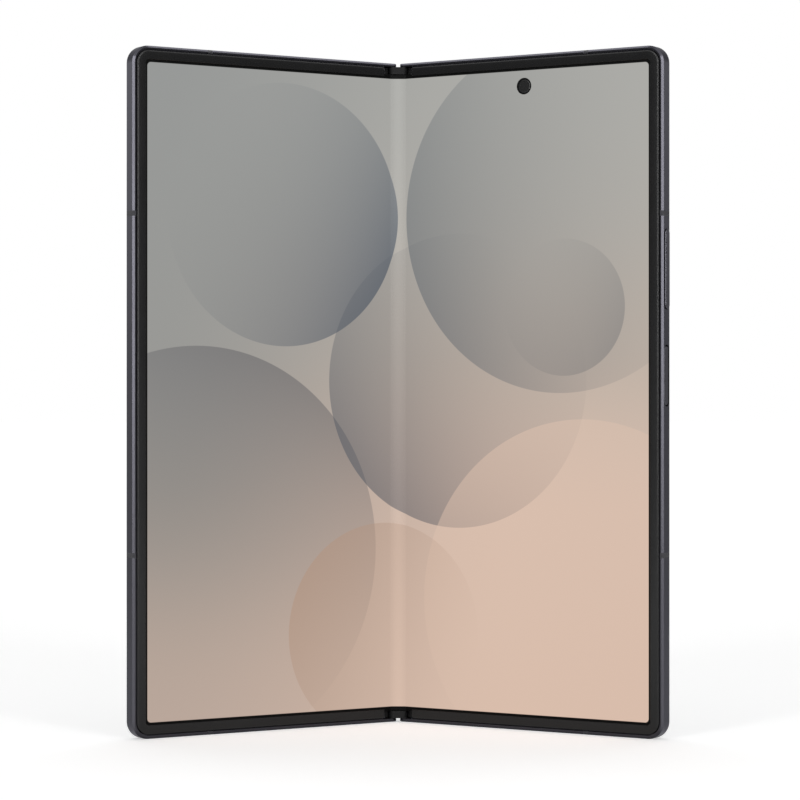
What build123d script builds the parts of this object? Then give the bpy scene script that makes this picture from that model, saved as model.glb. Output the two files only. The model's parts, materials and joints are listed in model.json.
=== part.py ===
from build123d import *
import os

os.makedirs("parts", exist_ok=True)

# A book-style folding phone, half open and standing on its bottom edges, in millimetres.
# Z runs up the hinge, X to the right and Y away from the person who looks at the inner display.
# Laid flat, each half is described on its own plane: x out from the hinge line, y up from the
# bottom edge and z from the back face towards the display. The plane is then turned about the
# half's hinge axis, so every piece is drawn where it stands.

# Whole phone
half_width = 71.6  # hinge line to the outer side, laid flat
height = 158.4
thickness = 4.2  # back face to the top of the display's rim
corner_radius = 4.0
rest_tilt = 31.8  # turn of each half out of flat, as it stands

# Layers through a half, from the display backwards
rim_stand = 0.35  # rim above the display surface
lip_stand = 0.15  # metal lip above the display surface
display_thickness = 0.45
support_thickness = 0.2
deck_thickness = 0.3
back_thickness = 0.5
display_front = thickness - rim_stand
lip_front = display_front + lip_stand
display_back = display_front - display_thickness
deck_front = display_back - support_thickness
deck_back = deck_front - deck_thickness

# Edges seen from the front, measured inwards from the outer side
bezel = 3.6  # outer side to the lit picture
lip_width = 0.8
rim_groove = 0.2
rim_chamfer = 0.4
rim_gap = 0.45  # rim to the lit picture
panel_border = 0.85  # unlit edge of the display panel
panel_gap = 0.1
edge_chamfer = 0.45
back_round = 0.9
lip_end_round = 1.0  # corner of the metal lip beside the hinge
wall = 2.0  # side wall round the inner hollow
glass_inset = lip_width  # the radio breaks end at both
glass_gap = 0.05
small_round = 0.15

# Hinge
axis_depth = 1.525  # hinge axes behind the display surface
closed_gap = 0.5  # rim to rim, closed
spine_gap = 0.15  # hinge spine to the edge strip that turns round it
spine_wall = 0.5
spine_end_gap = 0.12
bend_reach = 4.2  # hinge line to where the display starts to lie flat
rim_reach = 4.66  # hinge line to where the raised rim starts
bay_width = 4.4  # hinge line to the rail that the arms are screwed to
rail_width = 4.6
strip_overlap = 0.95  # edge strip behind the rail
axis_height = display_front - axis_depth
axis_x = axis_depth + rim_stand + closed_gap / 2
nose_radius = lip_front - axis_height
hinge_edge = axis_x - nose_radius
spine_radius = axis_height - back_thickness - spine_gap
spine_inner = spine_radius - spine_wall
spine_bottom = lip_width + spine_end_gap
spine_top = height - spine_bottom
side_rise = 0.075  # spine wall beyond the hinge axes
end_cap_width = 5.0
end_cap_stand = 0.25  # end cap in front of the flat display surface
end_cap_round = 1.7

# Hinge modules
module_inset = 24.0  # bottom or top edge to the middle of the outer modules
module_places = {"lower": module_inset, "middle": height / 2, "upper": height - module_inset}
geared_modules = ("lower", "upper")
base_length = 20.0
knuckle_length = 3.0
gear_length = 3.0
knuckle_radius = 0.9
knuckle_shift = 6.0  # module's middle to the lone knuckle's middle
eye_radius = 0.85
pin_radius = 0.3
idler_pin_radius = 0.2
idler_pin_bite = 0.85  # idler pin into the base at each end of its gear
running_gap = 0.03
side_gap = 0.1
gear_teeth = 10
tooth_height = 0.24
tooth_width = 0.15
tooth_tip = 0.09  # tooth beyond the pitch circle
arm_thickness = 0.55
arm_drop = 0.05  # arm below the display's support plate
arm_length = 18.0
arm_near = 3.45
arm_far = 8.3
arm_gap = 0.1
link_bite = 0.15  # knuckle's link past the hinge axis and into the arm's plate
screw_radius = 0.5
screw_head_radius = 0.85
screw_head = 0.35
arm_screw_x = 6.4
arm_screw_shift = 6.0
arm_screw_depth = 1.4
base_screw_bite = 0.3  # base screw into the spine wall

# Radio breaks in the metal band
band_width = 1.2
band_low = 42.0  # lower side break above the bottom edge
band_drop = 38.4  # upper side break below the top edge
band_side = 19.9  # outer side to the breaks in the top and bottom edges

# Keys on the right side
key_height = 2.1  # middle of the keys above the back face
key_width = 1.9
key_gap = 0.15
key_round = 0.3
key_depth = 1.0  # key below the side's surface
key_slot_depth = 1.3
switch_radius = 0.8
switch_height = 0.1
volume_drop = 51.1  # top edge to the key's middle
volume_length = 18.2
volume_stand = 0.4
volume_switch_shift = 6.0
power_drop = 75.4
power_length = 13.6
power_end_gap = 0.25

# Card tray in the top edge of the left half
tray_x = 24.0
tray_height = 2.0
tray_face_length = 16.0
tray_face_width = 1.7
tray_gap = 0.1
tray_recess = 0.05
tray_plate_length = 17.5
tray_plate_width = 14.6
tray_plate_thickness = 0.8
pin_hole_radius = 0.4
pin_hole_depth = 1.2
pin_hole_side = 1.7  # tray face's end to the pin hole
card_length = 12.3
card_width = 8.8
reader_wall = 0.2
reader_gap = 0.15

# Charging socket, sound holes and inner camera, right half
socket_height = 1.85
socket_opening = 2.4
socket_length = 8.7
socket_wall = 0.13
socket_back = 0.52  # closed back of the socket
socket_gap = 0.13  # socket to the ends of its room
socket_depth = 7.0
tongue_thickness = 0.7
tongue_width = 6.6
tongue_end = 1.6  # tongue's tip behind the socket's mouth
speaker_hole_radius = 0.5
speaker_hole_pitch = 2.0
speaker_hole_count = 6
small_hole_count = 3
sound_height = 2.0  # sound holes above the back face
microphone_radius = 0.3
microphone_shift = 8.0  # socket's middle to the microphone holes
inner_camera_side = 36.3  # outer side to the camera's middle
inner_camera_drop = 7.4  # top edge to the camera's middle
inner_camera_radius = 1.85
camera_gap = 0.1
inner_camera_size = 7.0

# Rear cameras, right half
island_side = 17.6
island_drop = 35.8
island_width = 19.0
island_length = 57.0
island_height = 1.6
island_round = 0.3
lens_pitch = 18.4
ring_radius = 7.3
ring_height = 1.3
lens_radius = 5.6
lens_gap = 0.05
lens_thickness = 0.5
lens_recess = 0.1
barrel_radius = 5.0
barrel_gap = 0.2  # camera barrel to its window
camera_size = 11.5
flash_shift = 13.5  # from the cameras towards the hinge
flash_radius = 2.0
flash_stand = 0.3

# Inner parts
seat_gap = 0.05
cover_panel_thickness = 0.4
cover_panel_border = 1.7
cover_panel_near = 6.0
cover_camera_drop = 8.9
cover_camera_size = 6.0
cover_camera_radius = 1.7
cell_round = 1.5
cell_back = 1.0
cell_near = 12.0
cell_side_gap = 5.6  # battery to the side wall
left_cell_low = 30.0
cell_gap = 3.0  # battery to the circuit boards
board_near = 13.0
board_side_gap = 3.6
board_camera_gap = 2.75
left_board_drop = 21.4
left_board_length = 17.0
main_board_drop = 12.4
main_board_length = 53.0
usb_board_side = 15.0  # socket's middle to the board's edge towards the hinge
speaker_board_gap = 2.7  # loudspeaker to the socket's board
usb_board_length = 15.0
socket_board_gap = 1.0
top_wall_gap = 0.4  # earpiece and top speaker to the top wall
earpiece_width = 8.0
earpiece_length = 5.0
earpiece_gap = 1.0  # earpiece to the cover camera
motor_width = 14.0
motor_length = 14.0
motor_low = 10.0
speaker_width = 12.5
speaker_length = 20.0
speaker_low = 4.0
top_speaker_width = 11.5
board_thickness = 0.6
board_front = 2.35
board_round = 0.8
boss_radius = 1.2
board_screw_inset = 2.0
can_height = 0.75
can_gap = 1.2
coil_outer = 21.0
coil_inner = 9.0
coil_thickness = 0.3
magnet_size = (3.0, 12.0)
magnet_heights = (34.0, 56.0)
magnet_back = 1.2


def half_plane(out, hinge_y):
    """Plane of the right half (out = 1) or the left half (out = -1), turned about its hinge axis."""
    laid_flat = Plane(origin=(0, hinge_y + axis_height, 0), x_dir=(1, 0, 0), z_dir=(0, -1, 0))
    to_axis = Pos(out * axis_x, hinge_y, 0)
    turn = to_axis * Rot(0, 0, -out * rest_tilt) * to_axis.inverse()
    return Plane(turn * laid_flat.location)


# The origin is midway between the hindmost and the foremost corner, under the hinge.
trial = half_plane(1, 0)
hindmost = trial.from_local_coords((hinge_edge, 0, 0)).Y
foremost = trial.from_local_coords((half_width - edge_chamfer, 0, lip_front)).Y
hinge_y = -(hindmost + foremost) / 2

left = half_plane(-1, hinge_y)
right = half_plane(1, hinge_y)
halves = (("left", left, -1), ("right", right, 1))
spine = Plane(origin=(0, hinge_y, 0))  # y = 0 on the line of the hinge axes


def end_view(half, level):
    """Plane across a half at this height, looking down: x as on the half, y from its back to its front."""
    return Plane(origin=half.origin + Vector(0, 0, level), x_dir=half.x_dir, z_dir=(0, 0, -1))


def facing(depth):
    """Upright plane this far behind the hinge axes, facing the display's side: x to the right, y up."""
    return Plane.XZ.offset(-hinge_y - depth)


def side_view(half, out, level, depth):
    """Plane on the outer side at this height and depth: x up the phone, z out of its side."""
    place = half.from_local_coords((out * (half_width - depth), level, key_height))
    return Plane(origin=place, x_dir=(0, 0, 1), z_dir=half.x_dir * out)


def outline(plane, out, near, inset, hinge_round=0.0):
    """A half's outline drawn in by the inset, round at its outer corners and at the hinge if asked."""
    with BuildSketch(plane) as area:
        with Locations((out * (near + half_width - inset) / 2, height / 2)):
            Rectangle(half_width - inset - near, height - 2 * inset)
        outer_corners = area.vertices().group_by(Axis.X)[-1 if out > 0 else 0]
        fillet(outer_corners, max(corner_radius - inset, small_round))
        if hinge_round:
            fillet(area.vertices().group_by(Axis.X)[0 if out > 0 else -1], hinge_round)
    return area.sketch


def patch(plane, out, near, far, low, high, rounding=0.0):
    """A rectangle on a half, from near to far out from the hinge and from low to high."""
    with BuildSketch(plane) as area:
        with Locations((out * (near + far) / 2, (low + high) / 2)):
            Rectangle(far - near, high - low)
        if rounding:
            fillet(area.vertices(), rounding)
    return area.sketch


def discs(plane, places, radius):
    """Equal circles at these places."""
    with BuildSketch(plane) as area:
        with Locations(*places):
            Circle(radius)
    return area.sketch


def slot(plane, place, length, width, turned=0):
    """A round-ended slot, along the plane's x unless it is turned."""
    with BuildSketch(plane) as area:
        with Locations(place):
            SlotOverall(length, width, rotation=turned)
    return area.sketch


def corners(area, inset):
    """Four places, drawn in from the corners of an area given as near, far, low and high."""
    near, far, low, high = area
    return [(x, y) for x in (near + inset, far - inset) for y in (low + inset, high - inset)]


def square_round(place, size):
    """Square area of this size round a place, as near, far, low and high."""
    x, y = place
    return x - size / 2, x + size / 2, y - size / 2, y + size / 2


def sided(out, places):
    """Places out from the hinge, as points on a half's plane."""
    return [(out * x, y) for x, y in places]


def hole_row(area, count):
    """Places of a row of sound holes, centred on the part that they serve."""
    middle = (area[0] + area[1]) / 2
    return [(middle + speaker_hole_pitch * (step - (count - 1) / 2), sound_height) for step in range(count)]


def write(name, piece):
    piece.part.label = name
    export_step(piece.part, f"parts/{name}.step")


# Places that several pieces share, out from the hinge and up from the bottom edge
cavity_near = bay_width + rail_width
glass_near = bay_width + strip_overlap
inner_side = half_width - wall
inner_top = height - wall
volume_middle = height - volume_drop
power_middle = height - power_drop
socket_x = half_width / 2
inner_camera_place = (half_width - inner_camera_side, height - inner_camera_drop)
cover_camera_place = ((glass_near + half_width - glass_inset) / 2, height - cover_camera_drop)
island_x = half_width - island_side
island_z = height - island_drop
flash_place = (island_x - flash_shift, island_z + lens_pitch / 2)

# Rooms of the inner parts, each as near, far, low and high
left_board_top = height - left_board_drop
left_board_low = left_board_top - left_board_length
left_board_area = (board_near, inner_side - board_side_gap, left_board_low, left_board_top)
main_board_top = height - main_board_drop
main_board_low = main_board_top - main_board_length
main_board_far = island_x - camera_size / 2 - board_camera_gap
main_board_area = (board_near, main_board_far, main_board_low, main_board_top)
speaker_far = inner_side - board_side_gap
speaker_near = speaker_far - speaker_width
speaker_area = (speaker_near, speaker_far, speaker_low, speaker_low + speaker_length)
usb_board_low = wall + socket_depth + socket_board_gap
usb_board_top = usb_board_low + usb_board_length
usb_board_near = socket_x - usb_board_side
usb_board_area = (usb_board_near, speaker_near - speaker_board_gap, usb_board_low, usb_board_top)
cell_far = inner_side - cell_side_gap
left_cell = (cell_near, cell_far, left_cell_low, left_board_low - cell_gap)
right_cell = (cell_near, cell_far, usb_board_top + cell_gap, main_board_low - cell_gap)
coil_place = ((cell_near + cell_far) / 2, (right_cell[2] + right_cell[3]) / 2)
earpiece_near = cover_camera_place[0] + cover_camera_size / 2 + earpiece_gap
earpiece_top = inner_top - top_wall_gap
earpiece_low = earpiece_top - earpiece_length
earpiece_area = (earpiece_near, earpiece_near + earpiece_width, earpiece_low, earpiece_top)
motor_area = (cell_far - motor_width, cell_far, motor_low, motor_low + motor_length)
top_speaker_area = (speaker_far - top_speaker_width, speaker_far, earpiece_low, earpiece_top)

back_limit = deck_back - seat_gap  # inner parts reach up to here, under the deck
pitch_radius = axis_x / 3  # four gears in a row between the two hinge axes
spine_cut = 4 * (axis_x + spine_radius)  # wider than the spine, for cuts right across it
beside_gear = (gear_length + knuckle_length) / 2
base_screws = [
    (0, middle + shift) for middle in module_places.values() for shift in (-knuckle_shift, beside_gear)
]
arm_front = deck_front - arm_drop
arm_back = arm_front - arm_thickness
arm_screws = [
    (arm_screw_x, middle + shift)
    for middle in module_places.values()
    for shift in (-arm_screw_shift, arm_screw_shift)
]
bands_on_side = [(half_width, band_low), (half_width, height - band_drop)]
bands_on_ends = [(half_width - band_side, level) for level in (0, height)]
lens_places = [(island_x, island_z + lens_pitch * step) for step in (1, 0, -1)]
board_screws = {
    "left": corners(left_board_area, board_screw_inset),
    "right": corners(main_board_area, board_screw_inset) + corners(usb_board_area, board_screw_inset)[:3],
}
boss_top = board_front + seat_gap
speaker_holes = hole_row(speaker_area, speaker_hole_count)
top_speaker_holes = hole_row(top_speaker_area, small_hole_count)
earpiece_holes = hole_row(earpiece_area, small_hole_count)
microphone_hole = (socket_x + microphone_shift, sound_height)


# --- Outer band of each half, with its deck, hinge rail and edge strip -------------------------


def rounded_block(half, out):
    """The solid outer shape of a half: chamfered round the front, rounded round the back."""
    up_through = Axis(half.origin, half.z_dir)
    outwards = Axis(half.origin, half.x_dir * out)
    with BuildPart() as block:
        extrude(outline(half, out, hinge_edge, 0, lip_end_round), amount=lip_front)
        chamfer(block.faces().sort_by(up_through)[-1].edges(), edge_chamfer)
        back_edges = block.faces().sort_by(up_through)[0].edges().sort_by(outwards)[1:]
        fillet(back_edges, back_round)
    return block.part


def band_cuts(half, out):
    """Blocks where the metal band is broken: two in the side, one at the top and one at the bottom."""
    with BuildPart() as cuts:
        with BuildSketch(half) as area:
            with Locations(*sided(out, bands_on_side)):
                Rectangle(2 * glass_inset, band_width)
            with Locations(*sided(out, bands_on_ends)):
                Rectangle(band_width, 2 * glass_inset)
        extrude(area.sketch, amount=lip_front)
    return cuts.part


for name, half, out in halves:
    with BuildPart() as frame:
        add(rounded_block(half, out))
        # Front pocket down to the deck, open towards the hinge
        extrude(outline(half.offset(deck_front), out, 0, lip_width), amount=thickness, mode=Mode.SUBTRACT)
        # Seat of the glass, then the hollow for the inner parts
        extrude(
            outline(half, out, glass_near - glass_gap, glass_inset),
            amount=back_thickness,
            mode=Mode.SUBTRACT,
        )
        hollow = deck_back - back_thickness
        extrude(
            outline(half.offset(back_thickness), out, cavity_near, wall), amount=hollow, mode=Mode.SUBTRACT
        )
        # Shallow seat of the cover display or the charging coil
        seat_near = cover_panel_near - seat_gap
        seat_border = cover_panel_border - seat_gap
        extrude(
            outline(half.offset(back_thickness), out, seat_near, seat_border),
            amount=cover_panel_thickness + seat_gap,
            mode=Mode.SUBTRACT,
        )
        # Bay for the hinge, between the two end walls
        extrude(
            patch(half.offset(back_thickness), out, 0, bay_width, lip_width, height - lip_width),
            amount=thickness,
            mode=Mode.SUBTRACT,
        )
        # Round nose of the end walls, which turns inside the closed phone's edge
        with BuildSketch(end_view(half, height)) as nose:
            with Locations((out * (axis_x - nose_radius), axis_height + nose_radius)):
                Rectangle(2 * nose_radius, 2 * nose_radius)
            with Locations((out * axis_x, axis_height)):
                Circle(nose_radius, mode=Mode.SUBTRACT)
        extrude(nose.sketch, amount=height, mode=Mode.SUBTRACT)
        # Seats and threads of the hinge arms
        for middle in module_places.values():
            reach = arm_length / 2 + arm_gap
            extrude(
                patch(half.offset(arm_back), out, 0, arm_far + arm_gap, middle - reach, middle + reach),
                amount=thickness,
                mode=Mode.SUBTRACT,
            )
        extrude(
            discs(half.offset(arm_back - arm_screw_depth), sided(out, arm_screws), screw_radius),
            amount=arm_screw_depth,
            mode=Mode.SUBTRACT,
        )
        # Bosses of the circuit boards, with their threads
        extrude(
            discs(half.offset(boss_top), sided(out, board_screws[name]), boss_radius),
            amount=deck_back - boss_top,
        )
        extrude(
            discs(half.offset(boss_top), sided(out, board_screws[name]), screw_radius),
            amount=deck_back - boss_top,
            mode=Mode.SUBTRACT,
        )
        add(band_cuts(half, out), mode=Mode.SUBTRACT)
        if name == "left":
            face_length = tray_face_length + 2 * tray_gap
            face_width = tray_face_width + 2 * tray_gap
            mouth = slot(end_view(half, height), (out * tray_x, tray_height), face_length, face_width)
            extrude(mouth, amount=wall, mode=Mode.SUBTRACT)
            holes = discs(end_view(half, height), sided(out, earpiece_holes), speaker_hole_radius)
            extrude(holes, amount=wall, mode=Mode.SUBTRACT)
        else:
            for middle, length, end_gap in (
                (volume_middle, volume_length, key_gap),
                (power_middle, power_length, power_end_gap),
            ):
                bottom = side_view(half, out, middle, key_slot_depth)
                opening = slot(bottom, (0, 0), length + 2 * end_gap, key_width + 2 * key_gap)
                extrude(opening, amount=key_slot_depth, mode=Mode.SUBTRACT)
            mouth = slot(
                end_view(half, wall), (out * socket_x, socket_height), socket_length, socket_opening
            )
            extrude(mouth, amount=wall, mode=Mode.SUBTRACT)
            socket_half = socket_length / 2 + socket_wall + socket_gap
            room = patch(
                half.offset(back_thickness), out, socket_x - socket_half, socket_x + socket_half,
                wall, wall + socket_depth + seat_gap,
            )
            extrude(room, amount=deck_front - back_thickness, mode=Mode.SUBTRACT)
            holes = discs(end_view(half, wall), sided(out, speaker_holes), speaker_hole_radius)
            extrude(holes, amount=wall, mode=Mode.SUBTRACT)
            holes = discs(end_view(half, height), sided(out, top_speaker_holes), speaker_hole_radius)
            extrude(holes, amount=wall, mode=Mode.SUBTRACT)
            for level in (wall, height):
                hole = discs(end_view(half, level), sided(out, [microphone_hole]), microphone_radius)
                extrude(hole, amount=wall, mode=Mode.SUBTRACT)
            window = discs(
                half.offset(deck_back), sided(out, [inner_camera_place]), inner_camera_radius + camera_gap
            )
            extrude(window, amount=deck_thickness, mode=Mode.SUBTRACT)
    write(f"{name}_frame", frame)

    with BuildPart() as bands:
        add(rounded_block(half, out))
        add(band_cuts(half, out), mode=Mode.INTERSECT)
    write(f"{name}_antenna_bands", bands)


# --- Inner display, its support and its rim ----------------------------------------------------

rim_outer = lip_width + rim_groove
rim_inner = bezel - rim_gap
panel_edge = bezel - panel_border

for name, half, out in halves:
    with BuildPart() as rim:
        extrude(outline(half.offset(deck_front), out, rim_reach, rim_outer), amount=thickness - deck_front)
        top_face = rim.faces().sort_by(Axis(half.origin, half.z_dir))[-1]
        chamfer(top_face.edges(), rim_chamfer)
        extrude(outline(half.offset(deck_front), out, 0, rim_inner), amount=thickness, mode=Mode.SUBTRACT)
        extrude(
            outline(half.offset(deck_front), out, 0, panel_edge - panel_gap),
            amount=display_front - deck_front,
            mode=Mode.SUBTRACT,
        )
    write(f"{name}_rim", rim)

    with BuildPart() as panel:
        extrude(outline(half.offset(display_back), out, bend_reach, panel_edge), amount=display_thickness)
        if name == "right":
            window = discs(
                half.offset(display_back), sided(out, [inner_camera_place]), inner_camera_radius + camera_gap
            )
            extrude(window, amount=display_thickness, mode=Mode.SUBTRACT)
    write(f"inner_display_{name}", panel)

    with BuildPart() as support:
        extrude(outline(half.offset(deck_front), out, bend_reach, panel_edge), amount=support_thickness)
        if name == "right":
            window = discs(
                half.offset(deck_front), sided(out, [inner_camera_place]), inner_camera_radius + camera_gap
            )
            extrude(window, amount=support_thickness, mode=Mode.SUBTRACT)
    write(f"{name}_support_plate", support)

    # The bend of the display, from the flat part to the hinge line: one arc, tangent to both halves
    flat_end = half.from_local_coords((out * bend_reach, 0, display_front))
    back_end = half.from_local_coords((out * bend_reach, 0, display_back))
    bend_radius = abs(flat_end.X) / abs(half.z_dir.X)
    bend_centre = Vector(0, flat_end.Y - bend_radius * abs(half.z_dir.Y), 0)
    with BuildPart() as bend:
        with BuildSketch(Plane.XY.offset(panel_edge)) as section:
            with BuildLine():
                front_middle = bend_centre + Vector(0, bend_radius, 0)
                back_middle = front_middle + Vector(0, display_thickness, 0)
                TangentArc(front_middle, (flat_end.X, flat_end.Y), tangent=(out, 0))
                Line((flat_end.X, flat_end.Y), (back_end.X, back_end.Y))
                TangentArc(back_middle, (back_end.X, back_end.Y), tangent=(out, 0))
                Line(back_middle, front_middle)
            make_face()
        extrude(amount=height - 2 * panel_edge)
    write(f"inner_display_bend_{name}", bend)


# --- Spine: outer cover, end caps, hinge bases and pins ----------------------------------------

with BuildPart() as spine_cover:
    with BuildSketch(spine.offset(spine_bottom)) as section:
        SlotCenterToCenter(2 * axis_x, 2 * spine_radius)
        SlotCenterToCenter(2 * axis_x, 2 * spine_inner, mode=Mode.SUBTRACT)
        with Locations((0, -side_rise - spine_radius)):
            Rectangle(spine_cut, 2 * spine_radius, mode=Mode.SUBTRACT)
    extrude(amount=spine_top - spine_bottom)
    threads = discs(facing(spine_inner + base_screw_bite), base_screws, screw_radius)
    extrude(threads, amount=base_screw_bite, mode=Mode.SUBTRACT)
write("spine_cover", spine_cover)

cap_length = panel_edge - panel_gap - spine_bottom
for name, bottom in (("lower_end_cap", spine_bottom), ("upper_end_cap", spine_top - cap_length)):
    with BuildPart() as end_cap:
        with BuildSketch(spine.offset(bottom)):
            SlotCenterToCenter(2 * axis_x, 2 * spine_inner)
            with Locations((0, -spine_radius)):
                Rectangle(spine_cut, 2 * spine_radius, mode=Mode.SUBTRACT)
            cap_front = axis_depth + end_cap_stand
            with BuildSketch(mode=Mode.PRIVATE) as raised:
                with Locations((0, -cap_front / 2)):
                    Rectangle(end_cap_width, cap_front)
                fillet(raised.vertices().group_by(Axis.Y)[0], end_cap_round)
            add(raised.sketch)
        extrude(amount=cap_length)
    write(name, end_cap)


def knuckle_spans(middle):
    """Bottom of each of a module's two knuckles: the lone one and the one beside the gear."""
    return middle - knuckle_shift - knuckle_length / 2, middle + gear_length / 2


def gear_outline(plane, x, phase):
    """A gear's outline about this point of the hinge row, with a tooth in this direction."""
    root = pitch_radius + tooth_tip - tooth_height
    with BuildSketch(plane) as area:
        with Locations((x, 0)):
            Circle(root)
            with PolarLocations(root, gear_teeth, start_angle=phase):
                Rectangle(2 * tooth_height, tooth_width)
    return area.sketch


half_pitch = 180 / gear_teeth
axes = [(-axis_x, 0), (axis_x, 0)]
idler_axes = [(-pitch_radius, 0), (pitch_radius, 0)]
idler_pin_length = gear_length + 2 * idler_pin_bite

with BuildPart() as hinge_bases:
    for name, middle in module_places.items():
        with BuildSketch(spine.offset(middle - base_length / 2)) as section:
            SlotCenterToCenter(2 * axis_x, 2 * eye_radius)
            with Locations((0, spine_inner / 2)):
                Rectangle(2 * axis_x, spine_inner)
        extrude(section.sketch, amount=base_length)
        for bottom in knuckle_spans(middle):
            with BuildSketch(spine.offset(bottom - side_gap)) as room:
                with Locations(*axes):
                    Circle(knuckle_radius + side_gap)
                with Locations(*[(x, -knuckle_radius) for x, _ in axes]):
                    Rectangle(2 * (knuckle_radius + side_gap), 2 * knuckle_radius)
            extrude(room.sketch, amount=knuckle_length + 2 * side_gap, mode=Mode.SUBTRACT)
        if name in geared_modules:
            with BuildSketch(spine.offset(middle - gear_length / 2 - side_gap)) as room:
                with Locations((0, knuckle_radius + side_gap - spine_radius)):
                    Rectangle(spine_cut, 2 * spine_radius)
            extrude(room.sketch, amount=gear_length + 2 * side_gap, mode=Mode.SUBTRACT)
            bores = discs(spine.offset(middle - idler_pin_length / 2), idler_axes, idler_pin_radius)
            extrude(bores, amount=idler_pin_length, mode=Mode.SUBTRACT)
        bores = discs(spine.offset(middle - base_length / 2), axes, pin_radius)
        extrude(bores, amount=base_length, mode=Mode.SUBTRACT)
    head_back = screw_head - eye_radius
    extrude(discs(facing(spine_inner), base_screws, screw_radius), amount=thickness, mode=Mode.SUBTRACT)
    extrude(discs(facing(head_back), base_screws, screw_head_radius), amount=thickness, mode=Mode.SUBTRACT)
write("hinge_bases", hinge_bases)

with BuildPart() as hinge_pins:
    for name, middle in module_places.items():
        extrude(discs(spine.offset(middle - base_length / 2), axes, pin_radius), amount=base_length)
        if name in geared_modules:
            pins = discs(spine.offset(middle - idler_pin_length / 2), idler_axes, idler_pin_radius)
            extrude(pins, amount=idler_pin_length)
write("hinge_pins", hinge_pins)

with BuildPart() as base_screw_set:
    heads = discs(facing(head_back), base_screws, screw_head_radius)
    extrude(heads, amount=screw_head)
    shanks = discs(facing(spine_inner + base_screw_bite), base_screws, screw_radius)
    extrude(shanks, amount=spine_inner + base_screw_bite - head_back)
write("hinge_base_screws", base_screw_set)

for name in geared_modules:
    bottom = module_places[name] - gear_length / 2
    for side, out, phase in (("left", -1, half_pitch), ("right", 1, 0)):
        with BuildPart() as idler:
            extrude(gear_outline(spine.offset(bottom), out * pitch_radius, phase), amount=gear_length)
            bore = discs(
                spine.offset(bottom), [(out * pitch_radius, 0)], idler_pin_radius + running_gap
            )
            extrude(bore, amount=gear_length, mode=Mode.SUBTRACT)
        write(f"{name}_idler_gear_{side}", idler)

# Arms of each half: a plate on the rail, two knuckles on the pin and, in two modules, a gear
for side, half, out in halves:
    with BuildPart() as arms:
        for name, middle in module_places.items():
            reach = arm_length / 2
            plate = patch(half.offset(arm_back), out, arm_near, arm_far, middle - reach, middle + reach)
            extrude(plate, amount=arm_thickness)
            for bottom in knuckle_spans(middle):
                knuckle = discs(spine.offset(bottom), [(out * axis_x, 0)], knuckle_radius)
                extrude(knuckle, amount=knuckle_length)
                with BuildSketch(end_view(half, bottom + knuckle_length)) as link:
                    with Locations((out * (axis_x + arm_near) / 2, arm_back + arm_thickness / 2)):
                        Rectangle(arm_near - axis_x + 2 * link_bite, arm_thickness)
                extrude(link.sketch, amount=knuckle_length)
            if name in geared_modules:
                phase = 0 if out < 0 else half_pitch
                ring = gear_outline(spine.offset(middle - gear_length / 2), out * axis_x, phase)
                extrude(ring, amount=gear_length)
            bore = discs(
                spine.offset(middle - base_length / 2), [(out * axis_x, 0)], pin_radius + running_gap
            )
            extrude(bore, amount=base_length, mode=Mode.SUBTRACT)
        places = sided(out, arm_screws)
        extrude(discs(half.offset(arm_back), places, screw_radius), amount=thickness, mode=Mode.SUBTRACT)
        heads = discs(half.offset(arm_front - screw_head), places, screw_head_radius)
        extrude(heads, amount=thickness, mode=Mode.SUBTRACT)
    write(f"{side}_hinge_arms", arms)

    with BuildPart() as arm_screw_set:
        extrude(discs(half.offset(arm_front - screw_head), places, screw_head_radius), amount=screw_head)
        shanks = discs(half.offset(arm_back - arm_screw_depth), places, screw_radius)
        extrude(shanks, amount=arm_screw_depth + arm_thickness - screw_head)
    write(f"{side}_hinge_screws", arm_screw_set)


# --- Inner parts that both halves have ---------------------------------------------------------

cells = {"left": left_cell, "right": right_cell}
for side, half, out in halves:
    with BuildPart() as cell:
        extrude(patch(half.offset(cell_back), out, *cells[side], cell_round), amount=back_limit - cell_back)
    write(f"{side}_battery", cell)

    with BuildPart() as magnets:
        far = half_width - wall - seat_gap
        for level in magnet_heights:
            area = (far - magnet_size[0], far, level - magnet_size[1] / 2, level + magnet_size[1] / 2)
            extrude(patch(half.offset(magnet_back), out, *area), amount=back_limit - magnet_back)
    write(f"{side}_magnets", magnets)

    with BuildPart() as board_screw_set:
        places = sided(out, board_screws[side])
        board_back = board_front - board_thickness
        extrude(discs(half.offset(board_back - screw_head), places, screw_head_radius), amount=screw_head)
        extrude(discs(half.offset(board_back), places, screw_radius), amount=back_limit - board_back)
    write(f"{side}_board_screws", board_screw_set)


# --- Left half: cover display, circuit board, card tray, earpiece and motor --------------------

cover_camera_places = sided(-1, [cover_camera_place])
with BuildPart() as cover_glass:
    extrude(outline(left, -1, glass_near, glass_inset + glass_gap), amount=back_thickness)
write("cover_glass", cover_glass)

with BuildPart() as cover_display:
    extrude(
        outline(left.offset(back_thickness), -1, cover_panel_near, cover_panel_border),
        amount=cover_panel_thickness,
    )
    window = discs(left, cover_camera_places, cover_camera_radius + camera_gap)
    extrude(window, amount=thickness, mode=Mode.SUBTRACT)
write("cover_display", cover_display)

with BuildPart() as cover_camera:
    area = square_round(cover_camera_place, cover_camera_size)
    extrude(patch(left.offset(cell_back), -1, *area, small_round), amount=back_limit - cell_back)
    barrel = discs(left.offset(back_thickness + seat_gap), cover_camera_places, cover_camera_radius)
    extrude(barrel, amount=cell_back - back_thickness - seat_gap)
write("cover_camera", cover_camera)

with BuildPart() as left_board:
    extrude(patch(left.offset(board_back), -1, *left_board_area, board_round), amount=board_thickness)
    holes = discs(left.offset(board_back), sided(-1, board_screws["left"]), screw_radius)
    extrude(holes, amount=board_thickness, mode=Mode.SUBTRACT)
write("left_board", left_board)

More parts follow.
